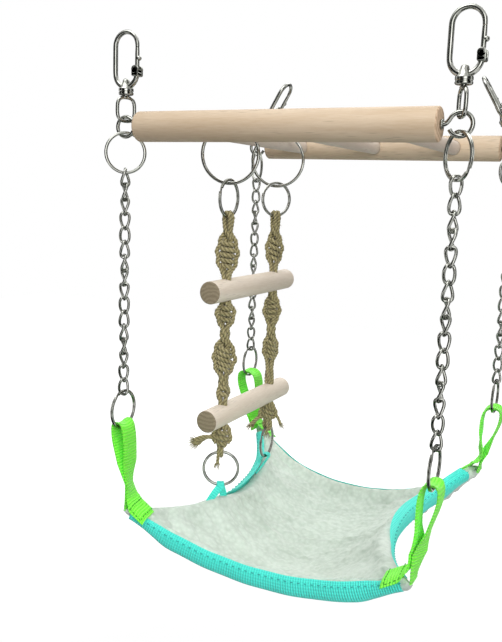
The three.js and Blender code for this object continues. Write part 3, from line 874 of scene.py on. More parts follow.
# Swivel snap hooks: oblong eye with a post, turned barrel, looped body and sprung gate
hookMake = {
    "swivelWire": 2.2, "swivelLength": 14.0, "swivelWidth": 11.2, "swivelYaw": 60, "swivelRise": 3.4, "swivelSteps": 48,
    # post, as radius and height over the swivel eye's top
    "post": [(0, -0.6), (1.7, -0.6), (2.1, 0.2), (1.5, 0.9), (1.5, 2.9), (2.5, 3.1), (2.5, 4.3), (2.1, 4.7), (0, 4.7)],
    "barrelBottom": 15.4, "barrelHeight": 4.8,
    # barrel with its neck, and the hollow for the post's head
    "barrel": [(1.75, 0.0), (3.9, 0.0), (4.35, 0.25), (4.5, 0.7), (4.5, 1.3), (4.2, 1.6), (4.2, 2.0), (4.5, 2.3),
               (4.5, 3.6), (4.2, 4.2), (3.4, 4.8), (2.2, 7.6), (2.0, 8.6), (1.5, 9.3), (0.8, 9.7), (0, 9.8),
               (0, 3.5), (2.8, 3.4), (2.8, 1.2), (1.75, 1.2), (1.75, 0.0)],
    "wire": 3.0, "radius": 8.0, "straight": 16.0, "nose": 1.0,
    "ear": 4.6, "earThick": 1.4, "earOut": 2.4, "earEdge": 0.3, "web": (4.4, 1.4, 3.6), "webDrop": 1.9,
    "foot": (4.2, 6.2, 2.4), "footDrop": 1.0, "footEdge": 0.6,
    "gateRise": 3.4, "gateWire": 2.6, "gateGap": 0.3, "gateTaper": [1, 1, 1, 1, 1, 0.97, 0.9],
    "pin": 2.0, "pinRun": (-3.1, -1.5, 0, 1.5, 3.1), "stud": 3.1, "studOut": 1.2, "studRise": 6.5,
    "yaw": {"front": 0, "back": 90}, "lean": {"front": 0, "back": 30},
}
hookRadius = hookMake["radius"]
hookLow = hookMake["barrelHeight"] + hookRadius
hookHigh = hookLow + hookMake["straight"]
gatePivot = hookLow + hookMake["gateRise"] - hookMake["wire"] / 2


def lathe(profile, facets):
    edges = [(k, k + 1) for k in range(len(profile) - 1)]
    piece = newPiece("turned", [(r * mm, 0, z * mm) for r, z in profile], [], edges)
    spin = piece.modifiers.new("spin", "SCREW")
    spin.steps = spin.render_steps = facets
    spin.use_merge_vertices = True
    spin.merge_threshold = 0.00001
    applyAll(piece)
    return tidyMesh(piece)


def makeSwivelEye():
    halfLength, halfWidth = hookMake["swivelLength"] / 2, hookMake["swivelWidth"] / 2
    points = [Vector((halfWidth * wide, 0, halfLength * (1 + tall))) * mm
              for wide, tall in oblong(hookMake["swivelSteps"])]
    loop = bendWire(points, hookMake["swivelWire"] / 2 * mm, closed=True, smooth=False)
    post = lathe([(r, hookMake["swivelLength"] + z) for r, z in hookMake["post"]], 32)
    return joinPieces([loop, post])


def makeHookBody():
    barrel = lathe(hookMake["barrel"], 48)
    run = []  # out, up, thickness
    for k in range(13):
        angle = -math.pi * k / 12
        thick = 0.95 + 0.25 * math.sin(angle) ** 2
        run.append((hookRadius * math.cos(angle), hookLow + hookRadius * math.sin(angle), thick))
    for k in range(1, 6):
        run.append((-hookRadius, hookLow + hookMake["straight"] * k / 6, 1))
    for k in range(17):
        angle = math.pi * (1 - k / 16)
        run.append((hookRadius * math.cos(angle), hookHigh + hookRadius * math.sin(angle), 1 - 0.18 * k / 16))
    run.append((hookRadius, hookHigh - hookMake["nose"], 0.8))
    body = bendWire([Vector((x, 0, z)) * mm for x, z, _ in run], hookMake["wire"] / 2 * mm,
                    thickness=[thick for _, _, thick in run])
    foot = addBox(hookMake["foot"], (hookRadius, 0, hookLow - hookMake["footDrop"]))
    roundEdges(foot, hookMake["footEdge"], 3)
    ears = []
    for sign in (-1, 1):
        place = Vector((hookRadius, sign * hookMake["earOut"], gatePivot))
        ear = addCylinder(hookMake["ear"] / 2 * mm, hookMake["earThick"] * mm, place * mm, acrossY, 32)
        web = addBox(hookMake["web"], place - upward * hookMake["webDrop"])
        for part in (ear, web):
            roundEdges(part, hookMake["earEdge"], 2)
        ears += [ear, web]
    return joinPieces([body, barrel, foot, *ears])


def makeGate():
    top = hookHigh - hookMake["nose"] - hookMake["gateGap"]
    taper = hookMake["gateTaper"]
    rise = (top - gatePivot) / (len(taper) - 1)
    lever = bendWire([Vector((hookRadius, 0, gatePivot + rise * k)) * mm for k in range(len(taper))],
                     hookMake["gateWire"] / 2 * mm, thickness=taper)
    pin = bendWire([Vector((hookRadius, y, gatePivot)) * mm for y in hookMake["pinRun"]], hookMake["pin"] / 2 * mm)
    deselect()
    spot = Vector((hookRadius + hookMake["studOut"], 0, gatePivot + hookMake["studRise"]))
    bpy.ops.mesh.primitive_uv_sphere_add(segments=20, ring_count=12, radius=hookMake["stud"] / 2 * mm,
                                         location=spot * mm)
    applyPlace()
    return joinPieces([lever, pin, bpy.context.object])


hookParts = {"swivel_eye": makeSwivelEye(), "snap_hook": makeHookBody(), "hook_gate": makeGate()}
for side, end in corners:
    hanger = (Matrix.Translation(cornerPlace(side, end) + upward * hookMake["swivelRise"] * mm)
              @ turnAbout("Y", -ends[end] * hookMake["lean"][side]))
    hook = hanger @ Matrix.Translation(upward * hookMake["barrelBottom"] * mm) @ turnAbout("Z", hookMake["yaw"][side])
    swivel = hanger @ turnAbout("Z", sides[side] * ends[end] * hookMake["swivelYaw"])
    for kind, part in hookParts.items():
        settle(copyPiece(part, swivel if kind == "swivel_eye" else hook), f"{kind}_{side}_{end}", "nickel")
for part in hookParts.values():
    bpy.data.objects.remove(part)
print("hooks ready")


# Fleece bed: pulled in between its corners and sagging, plush on both faces, thick rolled rim
bedMake = {
    "endPull": 35.5, "sidePull": 10, "lengthSag": 26, "widthSag": 14, "half": 3.5, "columns": 156, "rows": 150,
    # where the ladder and the straps draw the rim up, and how far in
    "endLift": 3.0, "endRun": 70, "endReach": 16, "tieLift": 2.6, "tieReach": 15, "tieSet": 2,
    "backLift": 8.0, "backReach": 26,
    # the rolled rim's rise over the flat fleece, its place and its width
    "rimRise": 2.2, "rimIn": 5.5, "rimWide": 4.5, "roundOff": 1.35, "calmIn": 12,
    # soft creases that run in from the corners
    "crease": 1.1, "creaseCount": 9, "creaseAt": 30, "creaseWide": 24,
}
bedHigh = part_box("hammock_fleece")[1]
bedHalfX, bedHalfY, bedCornerZ = bedHigh.x / mm, bedHigh.y / mm, bedHigh.z / mm - bedMake["half"]
rimRise = bedMake["rimRise"]
tiePlaces = []
for side in sides:
    low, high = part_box("tie_ring_" + side)
    tiePlaces.append(Vector(((low.x + high.x) / 2 - bedMake["tieSet"] * mm, (low.y + high.y) / 2, 0)) / mm)


def hump(distance, reach):
    return math.exp(-(distance / reach) ** 2)


def spanX(v):
    return bedHalfX - bedMake["endPull"] * (1 - v * v)


def spanY(u):
    return bedHalfY - bedMake["sidePull"] * (1 - u * u)


# the slack sheet settles otherwise if these sums are put in another order
def bedMiddle(u, v):
    x, y = u * spanX(v), v * spanY(u)
    z = bedCornerZ - bedMake["lengthSag"] * (1 - u * u) - bedMake["widthSag"] * (1 - v * v)
    drawn = bedMake["endLift"] * hump((1 - abs(u)) * bedMake["endRun"], bedMake["endReach"]) * (1 - v ** 4)
    for loop in tiePlaces:
        drawn += bedMake["tieLift"] * hump(math.hypot(x - loop.x, y - loop.y), bedMake["tieReach"])
    drawn += bedMake["backLift"] * hump(math.hypot(abs(x) - bedHalfX, y - bedHalfY), bedMake["backReach"])
    return Vector((x, y, z + drawn))


def bedNormal(u, v, step=0.01):
    du = bedMiddle(u + step, v) - bedMiddle(u - step, v)
    dv = bedMiddle(u, v + step) - bedMiddle(u, v - step)
    return du.cross(dv).normalized()


# the sheet is cut a little larger than its span and settles under its weight, held along the taped rim
drapeMake = {"columns": 56, "rows": 54, "frames": 24, "slack": 0.045, "rise": 6.0, "cap": 6.0, "heldRows": 2,
             "quality": 8, "mass": 0.05, "stretch": 12, "shear": 4, "bend": 0.6}


def drapeBed():
    columns, rows = drapeMake["columns"], drapeMake["rows"]
    wide = columns + 1
    shares = [(2 * i / columns - 1, 2 * j / rows - 1) for j in range(rows + 1) for i in range(wide)]
    spots = [bedMiddle(u, v) for u, v in shares]
    # the sheet starts shallower than the bed and hangs down into its place
    raised = [(spot + upward * (drapeMake["rise"] * (1 - u * u) * (1 - v * v))) * mm
              for spot, (u, v) in zip(spots, shares)]
    sheet = newPiece("drape", raised, [(j * wide + i, j * wide + i + 1, (j + 1) * wide + i + 1, (j + 1) * wide + i)
                                       for j in range(rows) for i in range(columns)])
    rim = sheet.vertex_groups.new(name="rim")
    rim.add([j * wide + i for j in range(rows + 1) for i in range(wide)
             if min(i, columns - i, j, rows - j) < drapeMake["heldRows"]], 1.0, "REPLACE")
    cloth = sheet.modifiers.new("cloth", "CLOTH")
    cloth.settings.quality = drapeMake["quality"]
    cloth.settings.mass = drapeMake["mass"]
    cloth.settings.tension_stiffness = cloth.settings.compression_stiffness = drapeMake["stretch"]
    cloth.settings.shear_stiffness = drapeMake["shear"]
    cloth.settings.bending_stiffness = drapeMake["bend"]
    cloth.settings.vertex_group_mass = "rim"
    cloth.settings.shrink_min = -drapeMake["slack"]
    cloth.collision_settings.use_collision = False
    cloth.point_cache.frame_start, cloth.point_cache.frame_end = 1, drapeMake["frames"]
    for step in range(1, drapeMake["frames"] + 1):
        bpy.context.scene.frame_set(step)
    settled = sheet.evaluated_get(bpy.context.evaluated_depsgraph_get()).data
    moves = []
    for spot, vertex in zip(spots, settled.vertices):
        move = vertex.co / mm - spot
        moves.append(move * min(1, drapeMake["cap"] / max(move.length, 1e-6)))
    bpy.data.objects.remove(sheet)
    bpy.context.scene.frame_set(1)
    return moves


drape = drapeBed()
drops = [move.z for move in drape]
print("fleece draped, moved", round(min(drops), 2), "to", round(max(drops), 2), "mm")


def drapeAt(u, v):
    columns, rows = drapeMake["columns"], drapeMake["rows"]
    x, y = (u + 1) / 2 * columns, (v + 1) / 2 * rows
    i, j = min(int(x), columns - 1), min(int(y), rows - 1)
    lower, upper = (drape[start + i].lerp(drape[start + i + 1], x - i)
                    for start in (j * (columns + 1), (j + 1) * (columns + 1)))
    return lower.lerp(upper, y - j)


def bedFolds(place):
    crease = 0.0
    for cx in (-1, 1):
        for cy in (-1, 1):
            reach = Vector((cx * bedHalfX - place.x, cy * bedHalfY - place.y, 0))
            angle = math.atan2(reach.y * cy, reach.x * cx)
            fade = hump(reach.length - bedMake["creaseAt"], bedMake["creaseWide"])
            crease += bedMake["crease"] * fade * math.cos(bedMake["creaseCount"] * angle)
    return crease


# teddy curls: cells about 5 mm apart, with finer and slower unevenness
def curls(place):
    near = noise.voronoi(place * 0.2 + noise.noise_vector(place * 0.15) * 0.5)[0][0]
    fine = noise.noise(place * 0.48)
    lumps = noise.noise(place * 0.11 + Vector((2, 9, 4)))
    return 0.9 - 2.0 * min(near, 0.8) + 0.4 * fine + 0.5 * lumps


# shares across the bed, closer together at the rim
def stationsOf(count):
    near = [0.0, 0.008, 0.022, 0.042, 0.066]
    inner = [1 - near[-1] - (1 - near[-1]) * 2 * k / count for k in range(1, count)]
    return [-1 + d for d in near] + [-v for v in inner] + [1 - d for d in reversed(near)]


def roundOf(depth):
    return math.sqrt(1 - (1 - clamp(depth / (bedMake["half"] * bedMake["roundOff"]))) ** 2)


def makeFleece():
    us, vs = stationsOf(bedMake["columns"]), stationsOf(bedMake["rows"])
    verts, faces, index = [], [], {}
    for j, v in enumerate(vs):
        for i, u in enumerate(us):
            middle, normal = bedMiddle(u, v), bedNormal(u, v)
            edgeX, edgeY = (1 - abs(u)) * spanX(v), (1 - abs(v)) * spanY(u)
            edge = min(edgeX, edgeY)
            flat = bedMake["half"] - 0.4 + rimRise * hump(edge - bedMake["rimIn"], bedMake["rimWide"])
            calm = min(1, edge / bedMake["calmIn"])
            middle += drapeAt(u, v) + normal * bedFolds(middle) * calm
            for layer, sign in (("top", 1), ("under", -1)):
                if layer == "under" and (i in (0, len(us) - 1) or j in (0, len(vs) - 1)):
                    index[i, j, layer] = index[i, j, "top"]
                    continue
                pile = curls(middle + normal * sign * 40) * (0.25 + 0.75 * calm)
                thick = (flat + pile) * roundOf(edgeX) * roundOf(edgeY)
                index[i, j, layer] = len(verts)
                verts.append((middle + normal * sign * thick) * mm)
    for j in range(len(vs) - 1):
        for i in range(len(us) - 1):
            square = ((i, j), (i + 1, j), (i + 1, j + 1), (i, j + 1))
            faces.append(tuple(index[a, b, "top"] for a, b in square))
            faces.append(tuple(index[a, b, "under"] for a, b in reversed(square)))
    fleece = newPiece("fleece", verts, faces)
    settle(fleece, "hammock_fleece", "plush")
    bpy.ops.object.shade_smooth()
    return fleece


def bedTop(x, y):
    u, v = x / bedHalfX, y / bedHalfY
    for _ in range(30):
        u = min(max(x / spanX(v), -1), 1)
        v = min(max(y / spanY(u), -1), 1)
    return bedMiddle(u, v).z + bedMake["half"]


fleece = makeFleece()
print("fleece ready")


# Ribbed tape laid along a run: the ribs are raised across it, its edges are rounded
ribMake = {"steps": 9, "low": 0.86, "rise": 0.28, "edgeFrom": 0.86, "edgeThin": 0.75}
threadMake = {"crown": 0.25, "run": (-1, -0.5, 0, 0.5, 1), "taper": [0.5, 0.95, 1, 0.95, 0.5]}


def layTape(name, run, across, width, make, bow):
    tangents = tangentsOf(run)
    rings, gone, steps = [], 0.0, ribMake["steps"]
    for i, place in enumerate(run):
        if i:
            gone += (run[i] - run[i - 1]).length
        side = (across[i] - tangents[i] * across[i].dot(tangents[i])).normalized()
        face = tangents[i].cross(side)
        wave = 0.5 + 0.5 * math.cos(math.tau * gone / make["rib"])
        raised = make["thick"] / 2 * (ribMake["low"] + ribMake["rise"] * wave)
        ring = []
        for sign in (1, -1):
            for k in range(steps):
                s = (k / (steps - 1) * 2 - 1) * sign
                rim = max(abs(s) - ribMake["edgeFrom"], 0) / (1 - ribMake["edgeFrom"])
                thin = raised * (1 - ribMake["edgeThin"] * rim)
                ring.append((place + side * (s * width / 2) + face * (sign * thin) + bow(i, s)) * mm)
        rings.append(ring)
    return skin(name, rings)


def stitchRow(points, normal, length, radius, finish):
    pieces = []
    for place, heading in zip(points, tangentsOf(points)):
        run = [(place + heading * (length / 2 * s) + normal * (threadMake["crown"] * (1 - s * s))) * mm
               for s in threadMake["run"]]
        pieces.append(bendWire(run, radius * mm, thickness=threadMake["taper"], fine=1, smooth=False))
    return dress(joinPieces(pieces), finish)


# Edge tapes: folded over the fleece's rim and stitched along their upper lip
tapeMake = {
    "height": 12.5, "sideHeight": 10.5, "thick": 1.1, "off": 1.9, "rib": 1.7, "endGap": 5.5, "steps": 240,
    # how far each tape's middle lies under the rim's
    "droop": {"front": 0.8, "back": 3.6, "side": 5.2}, "endDroop": 1.2, "endRun": 20, "foldRise": 7.2,
    "foldFrom": -0.4, "foldRun": 0.5,  # shares of the half width
    # share of the height lost at the ends, and over what length
    "narrow": 0.45, "narrowRun": 30, "sideNarrow": 0.5, "sideRun": 20,
    "lip": 2.0, "foldOver": 4.5, "foldUnder": 1.5, "foldLift": 5.0, "sway": 0.25,
    "stitch": 4.4, "stitchLength": 2.0, "stitchRadius": 0.33, "stitchIn": 4.8, "stitchOff": 0.65,
}


def makeEdgeTape(name, lengthwise, sign):
    node = "edge_tape_" + name
    half = bedHalfX if lengthwise else bedHalfY
    reach = bedHalfX - tapeMake["endGap"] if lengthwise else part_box(node)[1].y / mm
    height = tapeMake["height"] if lengthwise else tapeMake["sideHeight"]
    out = Vector((0, sign, 0)) if lengthwise else Vector((sign, 0, 0))

    # the side tapes hang under the rim at the front and fold over it towards the back
    def folded(y):
        return 0 if lengthwise else eased((y / bedHalfY - tapeMake["foldFrom"]) / tapeMake["foldRun"])

    run = []
    for k in range(tapeMake["steps"] + 1):
        t = (k / tapeMake["steps"] * 2 - 1) * reach / half
        middle = bedMiddle(t, sign) if lengthwise else bedMiddle(sign, t)
        if lengthwise:
            nearEnd = max(0, 1 - (reach - abs(t) * half) / tapeMake["endRun"])
            droop = tapeMake["droop"][name] + tapeMake["endDroop"] * nearEnd
        else:
            droop = tapeMake["droop"]["side"] - tapeMake["foldRise"] * folded(middle.y)
        run.append(middle + out * tapeMake["off"] - upward * droop)
    fine = resample(run, tapeMake["rib"] / 4)
    across = [heading.cross(out) for heading in tangentsOf(fine)]
    across = [a if a.z > 0 else -a for a in across]

    def wrap(i, s):
        x, y = fine[i].x, fine[i].y
        over = folded(y)
        lip = tapeMake["lip"] * abs(s) ** 3 + over * (
            tapeMake["foldOver"] * max(s, 0) ** 2 + tapeMake["foldUnder"] * min(s, 0) ** 2)
        if lengthwise:
            narrow = tapeMake["narrow"] * eased(1 - (reach - abs(x)) / tapeMake["narrowRun"])
        else:
            narrow = tapeMake["sideNarrow"] * eased(1 - (reach - abs(y)) / tapeMake["sideRun"]) * (1 - over)
        lift = narrow * height * (1 - s) / 2 + tapeMake["foldLift"] * over * min(s, 0)
        return across[i] * lift + out * (tapeMake["sway"] * math.sin(x * 0.21 + y * 0.17) - lip)

    tape = tidyMesh(dress(layTape(node, fine, across, height, tapeMake, wrap), "cyan"))
    lay = 1 - tapeMake["stitchIn"] / height
    lips = [p + a * (lay * height / 2) + wrap(i, lay) + out * tapeMake["stitchOff"]
            for i, (p, a) in enumerate(zip(fine, across))]
    seam = stitchRow(resample(lips, tapeMake["stitch"]), out, tapeMake["stitchLength"], tapeMake["stitchRadius"],
                     "cyanThread")
    settle(joinPieces([tape, seam]), node)


for name, lengthwise, sign in (("front", True, -1), ("left", False, -1), ("back", True, 1), ("right", False, 1)):
    makeEdgeTape(name, lengthwise, sign)
print("edge tapes ready")


# Corner straps: a webbing loop over the strap ring, both legs brought together and sewn down on the fleece's corner
strapMake = {
    "width": 14, "thick": 1.6, "rib": 1.9, "turn": 24, "turnRise": 12, "turnRun": 14, "footIn": 3.2,
    "eye": {"front_left": 8.4, "back_left": 15, "front_right": 9.6, "back_right": 12}, "overRing": 2.3,
    # the loop: share of the eye's half width, and drop under the ring's wire
    "outerLoop": [(0, 0), (0.62, 0.5), (1, 3.2), (1.1, 11), (0.8, 23)],
    "innerLoop": [(0.62, 0.5), (1, 3.2), (1.02, 10), (0.62, 22)],
    # where the legs meet, and their feet: mm outward, and height over the fleece's corner
    "meet": 36, "outerMeet": 2.2, "innerMeet": 0.1,
    "outerFoot": [(1.7, 2.2), (1.9, -1.5), (2.2, -4.5)], "innerFoot": [(-0.1, 5)],
    # the sewn patch: mm inward, and height over the fleece
    "patchRun": [(1.6, 2.2), (5, 1.7), (10, 2.1), (14.5, 2.3)], "patchShift": 2.5, "patchRise": 1.5, "patchDrop": 3.0,
    "seams": [(4.5, 2.7), (12.9, 3.2)], "seamRun": (-5.6, -3.4, -1.2, 1.2, 3.4, 5.6),
    "edgeRun": (2, 4.4, 6.8, 9.2, 11.6), "edgeOut": 8.6, "edgeLift": 0.2, "stitchLength": 1.7, "stitchRadius": 0.32,
    "seatRadius": 12.0, "seatRun": 7, "sway": 0.5, "swayRate": 0.011, "rimRun": 16, "sewnRun": 4, "sewnUnder": 6,
}


def ringSeat(offset):
    radius = strapMake["seatRadius"]
    return radius - math.sqrt(max(radius * radius - offset * offset, 1))


# the middle of a ring's lowest wire, mm
def ringFoot(node):
    foot = middleOf(node) / mm
    foot.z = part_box(node)[0].z / mm + 1
    return foot


def makeStrap(side, end):
    node = f"corner_strap_{side}_{end}"
    out, sy = ends[end], sides[side]
    wire = ringFoot(f"strap_ring_{side}_{end}")
    footX, footY = out * (bedHalfX - strapMake["footIn"]), wire.y
    top = bedTop(footX - out * 2, footY) + rimRise
    eye = strapMake["eye"][f"{side}_{end}"] / 2
    lean = (footX - wire.x) / (top - wire.z)
    rise = wire.z + strapMake["overRing"]

    def at(away, z):
        return Vector((wire.x + lean * (z - wire.z) + out * away, footY, z))

    def on(inward, lift, y=0):
        x = footX - out * inward
        return Vector((x, footY + y, bedTop(x, footY) + rimRise * max(0, 1 - inward / strapMake["rimRun"]) + lift))

    # the patch stands up at the inner edge and rolls down over the rim, s from edge to edge
    def rolled(s):
        return strapMake["patchRise"] * max(-s * sy, 0) - strapMake["patchDrop"] * max(s * sy, 0) ** 2

    def leg(loop, sign, meet, foot):
        return ([at(sign * eye * share, rise - drop) for share, drop in loop] + [at(meet, rise - strapMake["meet"])]
                + [at(away, top + height) for away, height in foot])

    outer = leg(strapMake["outerLoop"], 1, strapMake["outerMeet"], strapMake["outerFoot"])
    inner = leg(strapMake["innerLoop"], -1, strapMake["innerMeet"], strapMake["innerFoot"])
    patch = [on(inward, lift) for inward, lift in strapMake["patchRun"]]
    run = smoothRun(outer[::-1] + inner + patch, strapMake["rib"] / 4)
    across = []
    for place in run:
        share = max(0, 1 - abs(place.z - (top + strapMake["turnRise"])) / strapMake["turnRun"])
        across.append(turnAbout("Z", strapMake["turn"] * out * sy * share).to_3x3() @ Vector((0, 1, 0)))

    def saddle(i, s):
        near = max(0, 1 - abs(run[i].z - rise) / strapMake["seatRun"])
        sway = noise.noise(Vector((i * strapMake["swayRate"], sy * 3 + out, 0))) * strapMake["sway"]
        sewn = clamp((footX - run[i].x) * out / strapMake["sewnRun"]) if run[i].z < top + strapMake["sewnUnder"] else 0
        seat = near * near * ringSeat(s * strapMake["width"] / 2)
        return Vector((sway * s, sy * strapMake["patchShift"] * sewn, seat + sewn * rolled(s)))

    strap = tidyMesh(dress(layTape(node, run, across, strapMake["width"], strapMake, saddle), "green"))
    halfWidth = strapMake["width"] / 2
    rows = [[on(inward, lift + rolled(y / halfWidth), y + sy * strapMake["patchShift"]) for y in strapMake["seamRun"]]
            for inward, lift in strapMake["seams"]]
    rows.append([on(inward, strapMake["edgeLift"], sy * strapMake["edgeOut"]) for inward in strapMake["edgeRun"]])
    seams = [stitchRow(row, upward, strapMake["stitchLength"], strapMake["stitchRadius"], "greenThread")
             for row in rows]
    settle(joinPieces([strap, *seams]), node)


for side, end in corners:
    makeStrap(side, end)
print("straps ready")


# Tie loops: narrow tape from the fleece's left edge round the foot of each tie ring
tieMake = {
    "width": 5, "thick": 1.1, "rib": 1.5, "overRing": 1.9, "sunk": 0.6, "turnShare": 0.4,
    # where the two legs are sewn down, from the ring's foot along X and Y
    "feet": {"front": ((-4.6, -8.0), (-1.2, 8.0)), "back": ((-5.0, -7.0), (-2.5, -12.0))},
    # bends beside the crown, mm sideways and down, and the legs' own bow
    "bends": [(2.2, 2.2), (1.4, 0.5)], "bow": (1.6, 0.6),
}


def makeTieLoop(side):
    node = "ladder_loop_" + side
    wire = ringFoot("tie_ring_" + side)
    yaw = math.radians(ringMake["yaws"]["tie_ring"][side])
    along = Vector((math.cos(yaw), math.sin(yaw), 0))
    away = Vector((-math.sin(yaw), math.cos(yaw), 0))
    crown = wire + upward * tieMake["overRing"]
    legs = []
    for x, y in tieMake["feet"][side]:
        foot = Vector((wire.x + x, wire.y + y, 0))
        foot.z = bedTop(foot.x, foot.y) - tieMake["sunk"]
        legs.append(foot)
    lead = 1 if (legs[0] - legs[1]).dot(away) > 0 else -1

    def half(leg, sign):
        out, down = tieMake["bow"]
        bends = [crown + away * (sign * b) - upward * d for b, d in tieMake["bends"]]
        return [leg, (leg + crown) / 2 + away * (sign * out) - upward * down, *bends]

    run = smoothRun(half(legs[0], lead) + [crown] + half(legs[1], -lead)[::-1], tieMake["rib"] / 4)
    edge = Vector((0, 1 if along.y >= 0 else -1, 0))
    low = min(foot.z for foot in legs)
    across = [along.lerp(edge, tieMake["turnShare"] * min(1, (crown.z - place.z) / (crown.z - low))) for place in run]

    def saddle(i, s):
        return upward * (max(0, 1 - abs(run[i].z - crown.z) / 4) * ringSeat(s * tieMake["width"] / 2))

    settle(tidyMesh(dress(layTape(node, run, across, tieMake["width"], tieMake, saddle), "cyan")), node)


for side in sides:
    makeTieLoop(side)
print("tie loops ready")


# Jute ropes: one cord up and down between the two rings, its outer lengths bowed out in knots, with bars wound across
# them, cut tails and stray fibres
ropeMake = {
    "strand": 1.6, "lay": 7.5, "step": 0.9, "facets": 12, "lobes": 3, "neck": 2.15, "head": 3.1, "headRun": 9,
    "ringRise": 4.7, "knotTurn": 12, "leastTurn": 50, "firstTurn": 123,
    "barPitch": 3.7, "barSteps": 28, "barDeep": 3.1, "barThick": 1.03, "barLeast": 2.6, "barTilt": 1.2,
    "seeds": {"front": 11, "back": 23},
    # each knot: depth of its middle under the rope ring's wire, half its height, how far it stands out, its heading
    "knots": {
        "front": [(24.5, 17, 8.2, 20), (66, 10.5, 7.5, 38), (95.5, 15.5, 8.6, 15), (120, 8, 5.6, 55),
                  (151, 10.5, 7.4, 25)],
        "back": [(25, 15, 7.3, 35), (71, 13.5, 7.1, 12), (101, 13, 6.9, 40), (151, 10, 7.4, 20)],
    },
    # cut tails at the lower knot: along X, along Y, up, length
    "tails": {
        "front": [(-0.9, -0.5, 0.05, 19), (-0.9, -0.4, -0.15, 20), (-0.9, -0.5, -0.35, 18), (-0.8, -0.2, -0.3, 16),
                  (0.05, -0.2, -1.0, 15)],
        "back": [(-0.8, -0.5, -0.5, 15), (-0.7, -0.3, -0.8, 14), (0.7, 0.2, -0.7, 11), (0.1, -0.3, -1.0, 14)],
    },
    "fibres": 280, "fibreRadius": 0.07, "fibreBend": 0.5, "tailFibres": 20, "tailRadius": 0.3, "tailBend": 0.22,
}


def layStrand(points, radius, thinning=0):
    tangents = tangentsOf(points)
    front = frontOf(tangents[0], Vector((0.31, 0.52, 0.79)))[0]
    rings, gone = [], 0.0
    for i, place in enumerate(points):
        if i:
            gone += (points[i] - points[i - 1]).length
        front, side = frontOf(tangents[i], front)
        twist = math.tau * gone / ropeMake["lay"]
        size = radius * (1 - thinning * i / (len(points) - 1))
        ring = []
        for k in range(ropeMake["facets"]):
            angle = math.tau * k / ropeMake["facets"]
            lobe = size * (0.9 + 0.15 * math.cos(ropeMake["lobes"] * (angle - twist)))
            ring.append((place + front * (lobe * math.cos(angle)) + side * (lobe * math.sin(angle))) * mm)
        rings.append(ring)
    return skin("strand", rings)


def layFibre(start, heading, length, radius, dice, bend, joints=4):
    points, way = [start], heading.normalized()
    for _ in range(joints):
        stray = Vector((dice.uniform(-bend, bend), dice.uniform(-bend, bend), dice.uniform(-bend, bend * 0.4)))
        way = (way + stray).normalized()
        points.append(points[-1] + way * (length / joints))
    rings = []
    for i, (spot, along) in enumerate(zip(points, tangentsOf(points))):
        front, side = frontOf(along, Vector((0.2, 0.9, 0.4)))
        size = radius * (1 - 0.8 * i / joints)
        rings.append([(spot + front * (size * math.cos(a)) + side * (size * math.sin(a))) * mm for a in (0, 2.1, 4.2)])
    return skin("fibre", rings)


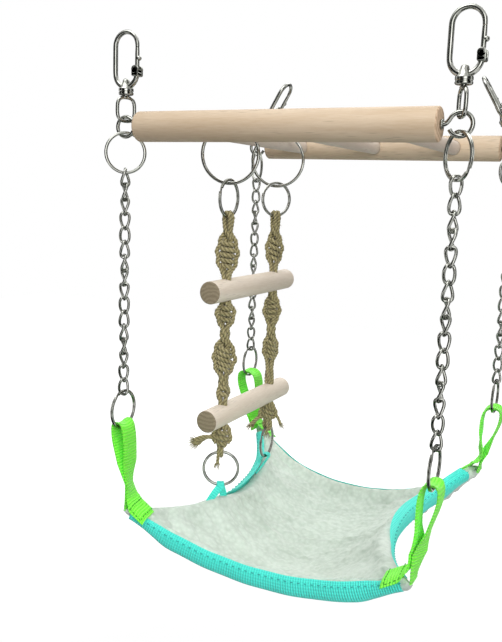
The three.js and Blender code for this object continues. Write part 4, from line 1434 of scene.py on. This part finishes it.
def makeRope(side):
    node = "ladder_rope_" + side
    dice = random.Random(ropeMake["seeds"][side])
    axis = middleOf(node) / mm
    axis.z = 0
    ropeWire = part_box("rope_ring_" + side)[0].z / mm + 1
    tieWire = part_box("tie_ring_" + side)[1].z / mm - 1
    upYaw, downYaw = (ringMake["yaws"][kind][side] + 90 for kind in ("rope_ring", "tie_ring"))
    knots = ropeMake["knots"][side]
    strand, neck, headMore = ropeMake["strand"], ropeMake["neck"], ropeMake["head"] - ropeMake["neck"]
    length = ropeWire - tieWire

    # the cord turns on from knot to knot, to the tie ring's own heading
    turns = [(4, upYaw + ropeMake["firstTurn"])]
    for middle, half, _, heading in knots + [(length + 6, 15, 0, downYaw + 90)]:
        while heading < turns[-1][1] + ropeMake["leastTurn"]:
            heading += 180
        turns += [(middle - 0.6 * half, heading), (middle + 0.6 * half, heading + ropeMake["knotTurn"])]

    def bowAt(depth):
        for (d0, a0), (d1, a1) in zip(turns, turns[1:]):
            if depth <= d1:
                return math.radians(a0 + (a1 - a0) * eased((depth - d0) / (d1 - d0)))
        return math.radians(turns[-1][1])

    def bulgeAt(depth):
        return max(((reach - strand) * math.cos(math.pi / 2 * (depth - middle) / half) ** 0.9
                    for middle, half, reach, _ in knots if abs(depth - middle) < half), default=0)

    def at(depth, angle, reach):
        return axis + Vector((reach * math.cos(angle), reach * math.sin(angle), ropeWire - depth))

    def nearTop(depth):
        return max(0, 1 - depth / ropeMake["headRun"])

    def waist(depth):
        return neck + headMore * (nearTop(depth) ** 2 + nearTop(length - depth) ** 2)

    def coreAt(depth, half):
        flat = clamp((bulgeAt(depth) - 2) / 3)
        return at(depth, bowAt(depth) - math.pi / 2 * (1 - flat) + math.pi * half, waist(depth) - 0.35 * flat)

    def cordAt(depth, half):
        sway = 0.3 * noise.noise(Vector((depth * 0.12, half * 5, upYaw)))
        bow = bulgeAt(depth)
        reach = max(waist(depth), bow + 0.09 * bow * math.cos(depth * 0.78 + half)) + sway
        return at(depth, bowAt(depth) + math.radians(24) * nearTop(depth) + math.pi * half, reach)

    def over(begin, end, rise):
        centre, arm = (begin + end) / 2, (begin - end) / 2
        return [centre + arm * math.cos(angle) + upward * (rise * math.sin(angle))
                for angle in (math.pi * k / 12 for k in range(1, 12))]

    # up as a knotting cord, over the rope ring, down as core, round the tie ring, and the same way back
    depths = [2 + (length - 4) * k / 180 for k in range(181)]
    short = [d for d in depths if d < length - 6]
    ringRise = ropeMake["ringRise"]
    outside = resample([
        *(cordAt(d, 0) for d in reversed(short)),
        *over(cordAt(2, 0), coreAt(2, 0), ringRise),
        *(coreAt(d, 0) for d in depths),
        *over(coreAt(length - 2, 0), coreAt(length - 2, 1), -ringRise),
        *(coreAt(d, 1) for d in reversed(depths)),
        *over(coreAt(2, 1), cordAt(2, 1), ringRise),
        *(cordAt(d, 1) for d in short),
    ], ropeMake["step"])
    pieces = [layStrand(outside, strand)]

    # bars carried across the front and back of each knot
    for middle, half, _, _ in knots:
        span = 1.1 * half
        count = max(2, round(span / ropeMake["barPitch"]))
        steps = count * ropeMake["barSteps"]
        tilt = dice.uniform(-ropeMake["barTilt"], ropeMake["barTilt"])
        points = []
        for k in range(steps + 1):
            depth = middle + span * (k / steps - 0.5)
            angle = math.tau * count * k / steps
            bow = bowAt(depth)
            uneven = 0.80 + 0.12 * noise.noise(Vector((depth * 0.4, middle, 0)))
            wide = max(ropeMake["barLeast"], bulgeAt(depth) * uneven - 0.5 * strand)
            offset = at(depth + tilt * math.cos(angle), bow, wide * math.cos(angle)) - at(depth, bow, 0)
            points.append(at(depth, bow + math.pi / 2, ropeMake["barDeep"] * math.sin(angle)) + offset)
        run = resample(points, ropeMake["step"])
        outside += run
        pieces.append(layStrand(run, strand * ropeMake["barThick"]))

    # cut tails that splay into fibres
    lowest = ropeWire - knots[-1][0]
    for x, y, z, size in ropeMake["tails"][side]:
        heading = Vector((x, y, z)).normalized()
        begin = axis + Vector((dice.uniform(-2, 2), dice.uniform(-2, 2), lowest - dice.uniform(-1, 5)))
        knee = begin + heading * size * 0.6 + upward * 1.2
        tip = begin + heading * size + Vector((dice.uniform(-1, 1), dice.uniform(-1, 1), -1.5))
        pieces.append(layStrand(smoothRun([begin, knee, tip], ropeMake["step"]), strand, 0.3))
        for _ in range(ropeMake["tailFibres"]):
            splay = Vector((dice.uniform(-1, 1), dice.uniform(-1, 1), dice.uniform(-1, 1)))
            pieces.append(layFibre(tip - heading * 1.5 + splay * 0.6, heading + splay * 0.5, dice.uniform(3.5, 7),
                                   ropeMake["tailRadius"], dice, ropeMake["tailBend"]))

    # stray fibres
    for _ in range(ropeMake["fibres"]):
        place = outside[dice.randrange(len(outside))]
        away = Vector((place.x - axis.x, place.y - axis.y, dice.uniform(-1.5, 1.5))).normalized()
        heading = away + Vector((dice.uniform(-0.8, 0.8), dice.uniform(-0.8, 0.8), 0))
        pieces.append(layFibre(place + away * 1.3, heading, dice.uniform(1.2, 3.0),
                               ropeMake["fibreRadius"], dice, ropeMake["fibreBend"]))
    settle(joinPieces(pieces), node, "jute")


for side in sides:
    makeRope(side)
print("ropes ready")


print("scene ready")
